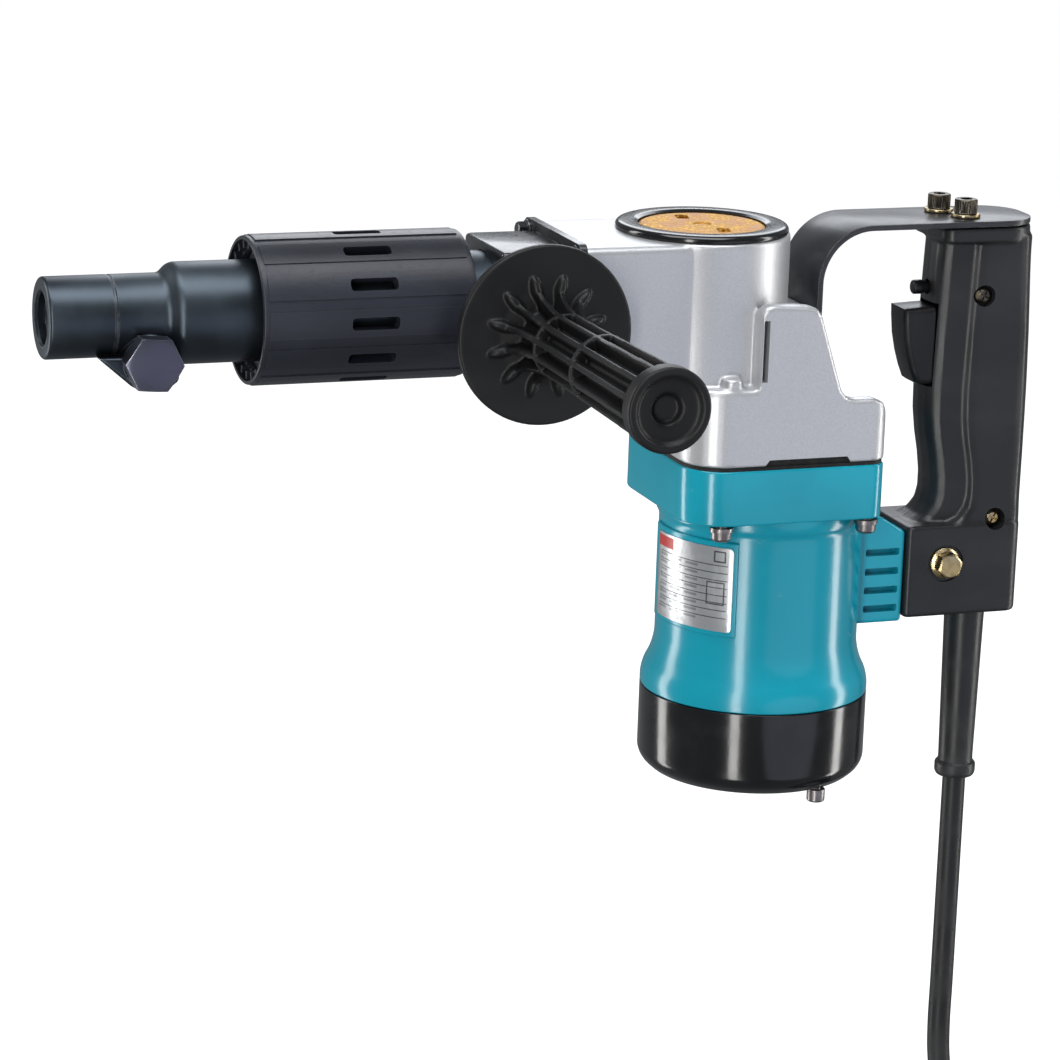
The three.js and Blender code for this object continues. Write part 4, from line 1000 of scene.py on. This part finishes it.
for i, (x, y) in enumerate(STRAP_SCREWS):
    screw = moved(socket_screw(LEAF_TOP + 1.9, 17.7), (x, y, 0))
    piece(f"leaf_screw_{i + 1}", screw, bronzed_oxide, "body", [f"strap_screw_{i + 1}"],
          25)
    washer = turned([(3.3, LEAF_TOP + 0.3), (6.3, LEAF_TOP + 0.3, 0.3), (6.3, LEAF_TOP + 1.7, 0.4),
                     (3.3, LEAF_TOP + 1.7)], 64, at=(x, y, 0))
    piece(f"leaf_washer_{i + 1}", washer, yellow_zinc, "body", [f"strap_washer_{i + 1}"])
for i, y in enumerate(ANCHOR_SIDES):
    seat = Matrix.Translation((LEAF_X + LEAF_T + 0.3, y, ANCHOR_Z))
    screw = placed(socket_screw(0, 14, 2.6), seat @ AXES["X"])
    piece(f"anchor_screw_{i + 1}", screw, bronzed_oxide, "body", [f"strap_anchor_{i + 1}"],
          25)


# ---- Rear handle ------------------------------------------------------------------------------
# Two halves moulded in satin black nylon and screwed together round the switch. The grip swells
# behind a ridge, spreads into a flange under the leaf, and flares into the box at its foot.
BOX_X, BOX_Y, BOX_LOW, BOX_HIGH = (-33.0, 21.5), 19.5, -143.0, -102.5
HANDLE_SCREWS, LOCK_Z = [(-2.1, -2.9), (8.3, -101.0)], -1.2
handle_nylon = nylon_finish("handle_nylon", (0.0095, 0.0098, 0.011), (0.016, 0.0165, 0.019), 0.34,
                            1100, 0.05)
# height, front, rear and half width of the grip
GRIP_SECTIONS = [
    (22.5, -21.0, 21.6, 17.0), (14, -21.4, 21.7, 16.8), (4, -21.8, 22.0, 16.8),
    (-20, -22.6, 22.9, 16.9), (-44, -23.2, 23.3, 17.0), (-56, -22.9, 23.4, 17.0),
    (-66, -21.6, 23.4, 17.0), (-75, -19.8, 23.4, 17.0), (-84, -18.6, 23.3, 17.0),
    (-91, -18.6, 23.2, 17.1), (-96, -19.8, 23.1, 17.5), (-100, -23.0, 23.0, 18.0),
    (-103, -28.5, 22.8, 18.6), (-106, -31.5, 22.4, 18.8)]


def grip_section(z, front, rear, half):
    side = [(front, 0), (front + 0.6, 6.2), (front + 2.2, 9.9), (front + 5.2, 12.0), (front + 10, 13.0),
            (front + 14.2, 13.9), (front + 16.2, half - 0.9), (front + 19.5, half), (rear - 8, half),
            (rear - 4.4, half - 0.8), (rear - 1.6, half - 3.4), (rear - 0.3, half - 7.2), (rear, 4),
            (rear, 0)]
    return [(x, -y, z) for x, y in side] + [(x, y, z) for x, y in side[-2:0:-1]]


grip_body = bmesh.new()
last = None
for section in GRIP_SECTIONS:
    ring = [grip_body.verts.new(p) for p in grip_section(*section)]
    loop = [grip_body.edges.new((ring[i - 1], ring[i])) for i in range(len(ring))]
    if last is None:
        grip_body.faces.new(ring)
    else:
        bmesh.ops.bridge_loops(grip_body, edges=last + loop)
    last = loop
grip_body.faces.new(ring)
bmesh.ops.recalc_face_normals(grip_body, faces=grip_body.faces)
flange_top = slab(-22.4, 22, 18.6, 20.2, 26.9, 6, 15)
rounded(flange_top, rims(flange_top), 1.2, 2)
box = slab(BOX_X[0], BOX_X[1], BOX_Y, BOX_LOW, BOX_HIGH, 2.6, 6)
rounded(box, rims(box), 1.6, 3)
handle = cast(gathered(grip_body, flange_top, box), 0.8, 3, 0.6)
recesses = [
    block(-9.6, 18, -12, 12, -47, 12), block(-6, 18, -11, 11, -97, -46.5),
    block(-30, 17.5, -15.5, 15.5, -139, -105.5), block(-36, -28, -12.5, 12.5, -135, -104.5),
    block(-42, -9.4, -9.4, 9.4, -43.6, -7.0), rod(3.4, -40, -9.4, 32, "X", (0, 0, LOCK_Z)),
    rod(3.3, -30, 30, 32, "Y", PIVOT), rod(8.6, -22, -18.4, 64, "Y", PIVOT, 8.2),
    rod(6, -150, -130, 32, at=(CORD_X, 0, 0))]
recesses += [rod(3.3, 10, 40, 32, at=(x, y, 0)) for x, y in STRAP_SCREWS]
for x, z in HANDLE_SCREWS:
    recesses += [rod(5.0, -24, -13, 48, "Y", (x, 0, z), 4.6), rod(1.9, -30, 12, 24, "Y", (x, 0, z))]
combined(handle, recesses, "DIFFERENCE", "MANIFOLD")
for name, side in (("left", -1), ("right", 1)):
    half = handle.copy()
    keep = block(-60, 60, *((-30, -0.12) if side < 0 else (0.12, 30)), -160, 60)
    combined(half, [keep], "INTERSECT", "MANIFOLD")
    piece(f"handle_half_{name}", half, handle_nylon, "body", [f"handle_{name}"], 42)
handle.free()


# ---- Handle screws and pivot bolt -------------------------------------------------------------
# Two cross-head screws close the handle halves, the upper one black and the lower one yellow
# zinc. A flanged hexagon bolt with a zinc finish joins the foot of the handle to the vent box.
def cross_screw(finish, name, node, x, z, slot):
    screw = turned([(0, -16.1), (2.2, -16.1), (3.9, -14.6, 0.5), (3.9, -13.4), (1.6, -13.3),
                    (1.6, 11.5), (0, 11.5)], 48, "Y", (x, 0, z))
    crossed(screw, (-2.3, 2.3, -18, -14.2, -0.45, 0.45), 0.5, "Y", (x, 0, z))
    piece(name, screw, finish, "body", [node])


cross_screw(bronzed_oxide, "grip_screw_upper", "handle_screw_1", *HANDLE_SCREWS[0], "barrel_steel")
cross_screw(yellow_zinc, "grip_screw_lower", "handle_screw_2", *HANDLE_SCREWS[1], "zinc_yellow")
pivot = headed(10, -19.6, -25.2, "Y", PIVOT, 1.2, math.radians(14))
joined(pivot, turned([(0, 19), (3, 19, 0.5), (3, -18.45), (6.9, -18.45, 0.3), (6.9, -19.2, 0.3),
                      (5.4, -20.2), (0, -20.2)], 64, "Y", PIVOT))
piece("handle_pivot_bolt", pivot, yellow_zinc, "body", ["pivot_bolt"], 20)


# ---- Trigger and lock button ------------------------------------------------------------------
# The trigger is a key in black acetal. The lock button
# is a short pin above it, pushed in against a spring.
black_acetal = plain_finish("black_acetal", ((0.006, 0.006, 0.0065), (0.011, 0.011, 0.012)),
                            (75, 4, 0.36, 0.68), (0.28, 0.14), (850, 2), 0.03, Specular_IOR_Level=0.3)
KEY = [(-21, -8.6), (-35.2, -9.2), (-35.0, -14), (-34.2, -22), (-32.6, -29.5), (-30.6, -36),
       (-28.4, -41.4), (-26.6, -42.6), (-21, -42.6)]
KEY_HALF = 8.6
key = prism(KEY, -KEY_HALF, KEY_HALF)
rounded(key, [e for e in key.edges if min(v.co.x for v in e.verts) < -22
              and abs(e.verts[0].co.y - e.verts[1].co.y) < 0.1], 2.8, 5)
piece("trigger_key", key, black_acetal, "trigger", ["trigger"], 26)
lock = turned([(0, -28.8), (3.1, -28.8, 1.0), (3.1, -24.8), (2.7, -24.2), (2.7, -13.4), (0, -13.4)], 48,
              "X", (0, 0, LOCK_Z))
piece("lock_pin", lock, black_acetal, "lock_button", ["lock_button"])


# ---- Cord guard -------------------------------------------------------------------------------
# Moulded rubber sleeve that keeps the cord from kinking where it leaves the handle. It tapers a
# little to a collar at its lower end.
guard_rubber = plain_finish("guard_rubber", ((0.010, 0.010, 0.011), (0.021, 0.021, 0.022)),
                            (65, 4, 0.4, 0.72), (0.38, 0.14), (700, 3), 0.05, Specular_IOR_Level=0.4)
piece("cord_guard_sleeve", turned([
    (5.4, -143.4), (8.9, -143.4), (8.9, -144.2), (8.7, -150), (7.6, -213, 0.5), (7.7, -215.2, 0.5),
    (9.0, -216.2, 0.7), (9.0, -220.6, 0.9), (8.0, -222, 0.4), (5.4, -222)], 72, at=(CORD_X, 0, 0)),
    guard_rubber, "body", ["cord_guard"])


# ---- Mechanism inside -------------------------------------------------------------------------
# The striking gear, crank, gears, motor and switch keep their own shapes. Each gets the finish it
# has in the workshop: ground or hardened steel, stamped laminations, copper, carbon or nylon.
def laminated_finish():
    stack = Finish("stamped_laminations", Metallic=0.9)
    joint = ((stack.coordinates()[2] * 1000.0) % 1.0) < 0.22
    film = stack.noise(160, 3).between(0.35, 0.7)
    stack.colour(stack.mix(joint, stack.mix(film, (0.24, 0.23, 0.22), (0.16, 0.15, 0.14)),
                           (0.05, 0.045, 0.04)), 0.36 + 0.15 * film)
    return stack.bump(0 - joint, 0.05)


def copper_finish():
    copper = Finish("commutator_copper", Metallic=1.0)
    x, y, _ = copper.coordinates()
    turn_part = copper.node("ShaderNodeMath", {"operation": "ARCTAN2"}, {0: y, 1: x - MOTOR_X * MM})
    mica = ((turn_part * (24 / math.tau)) % 1.0) < 0.10
    track = copper.noise(300, 3, (1, 1, 8)).between(0.4, 0.7)
    copper.colour(copper.mix(mica, copper.mix(track, (0.55, 0.24, 0.11), (0.34, 0.13, 0.06)),
                             (0.03, 0.02, 0.015)), 0.26 + 0.2 * track)
    return copper.bump(0 - mica, 0.1)


hardened = bright_finish("hardened_steel", (0.36, 0.36, 0.38), 0.20)
inner_nylon = nylon_finish("inner_nylon", (0.02, 0.02, 0.02), (0.035, 0.035, 0.035), 0.45)
brush_carbon = plain_finish("brush_carbon", ((0.018, 0.018, 0.019), (0.045, 0.045, 0.048)),
                            (600, 4, 0.4, 0.7), (0.55, 0), (1500, 2), 0.05)
INSIDE = {
    hardened: ["impact_bolt", "striker", "cylinder_liner", "wrist_pin", "connecting_rod", "crankshaft",
               "crank_gear", "armature_shaft"],
    bright_steel: ["retainer_stop", "side_grip_stud", "crank_bearing_upper", "crank_bearing_lower",
                   "motor_bearing_upper", "motor_bearing_lower"],
    silver_paint: ["bearing_plate", "piston"],
    laminated_finish(): ["armature_core", "stator_core"],
    copper_finish(): ["commutator"],
    brush_carbon: ["brush_left", "brush_right"],
    inner_nylon: ["cooling_fan", "switch_body"],
}
for finish, names in INSIDE.items():
    for name in names:
        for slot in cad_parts[name].material_slots:
            slot.material = finish
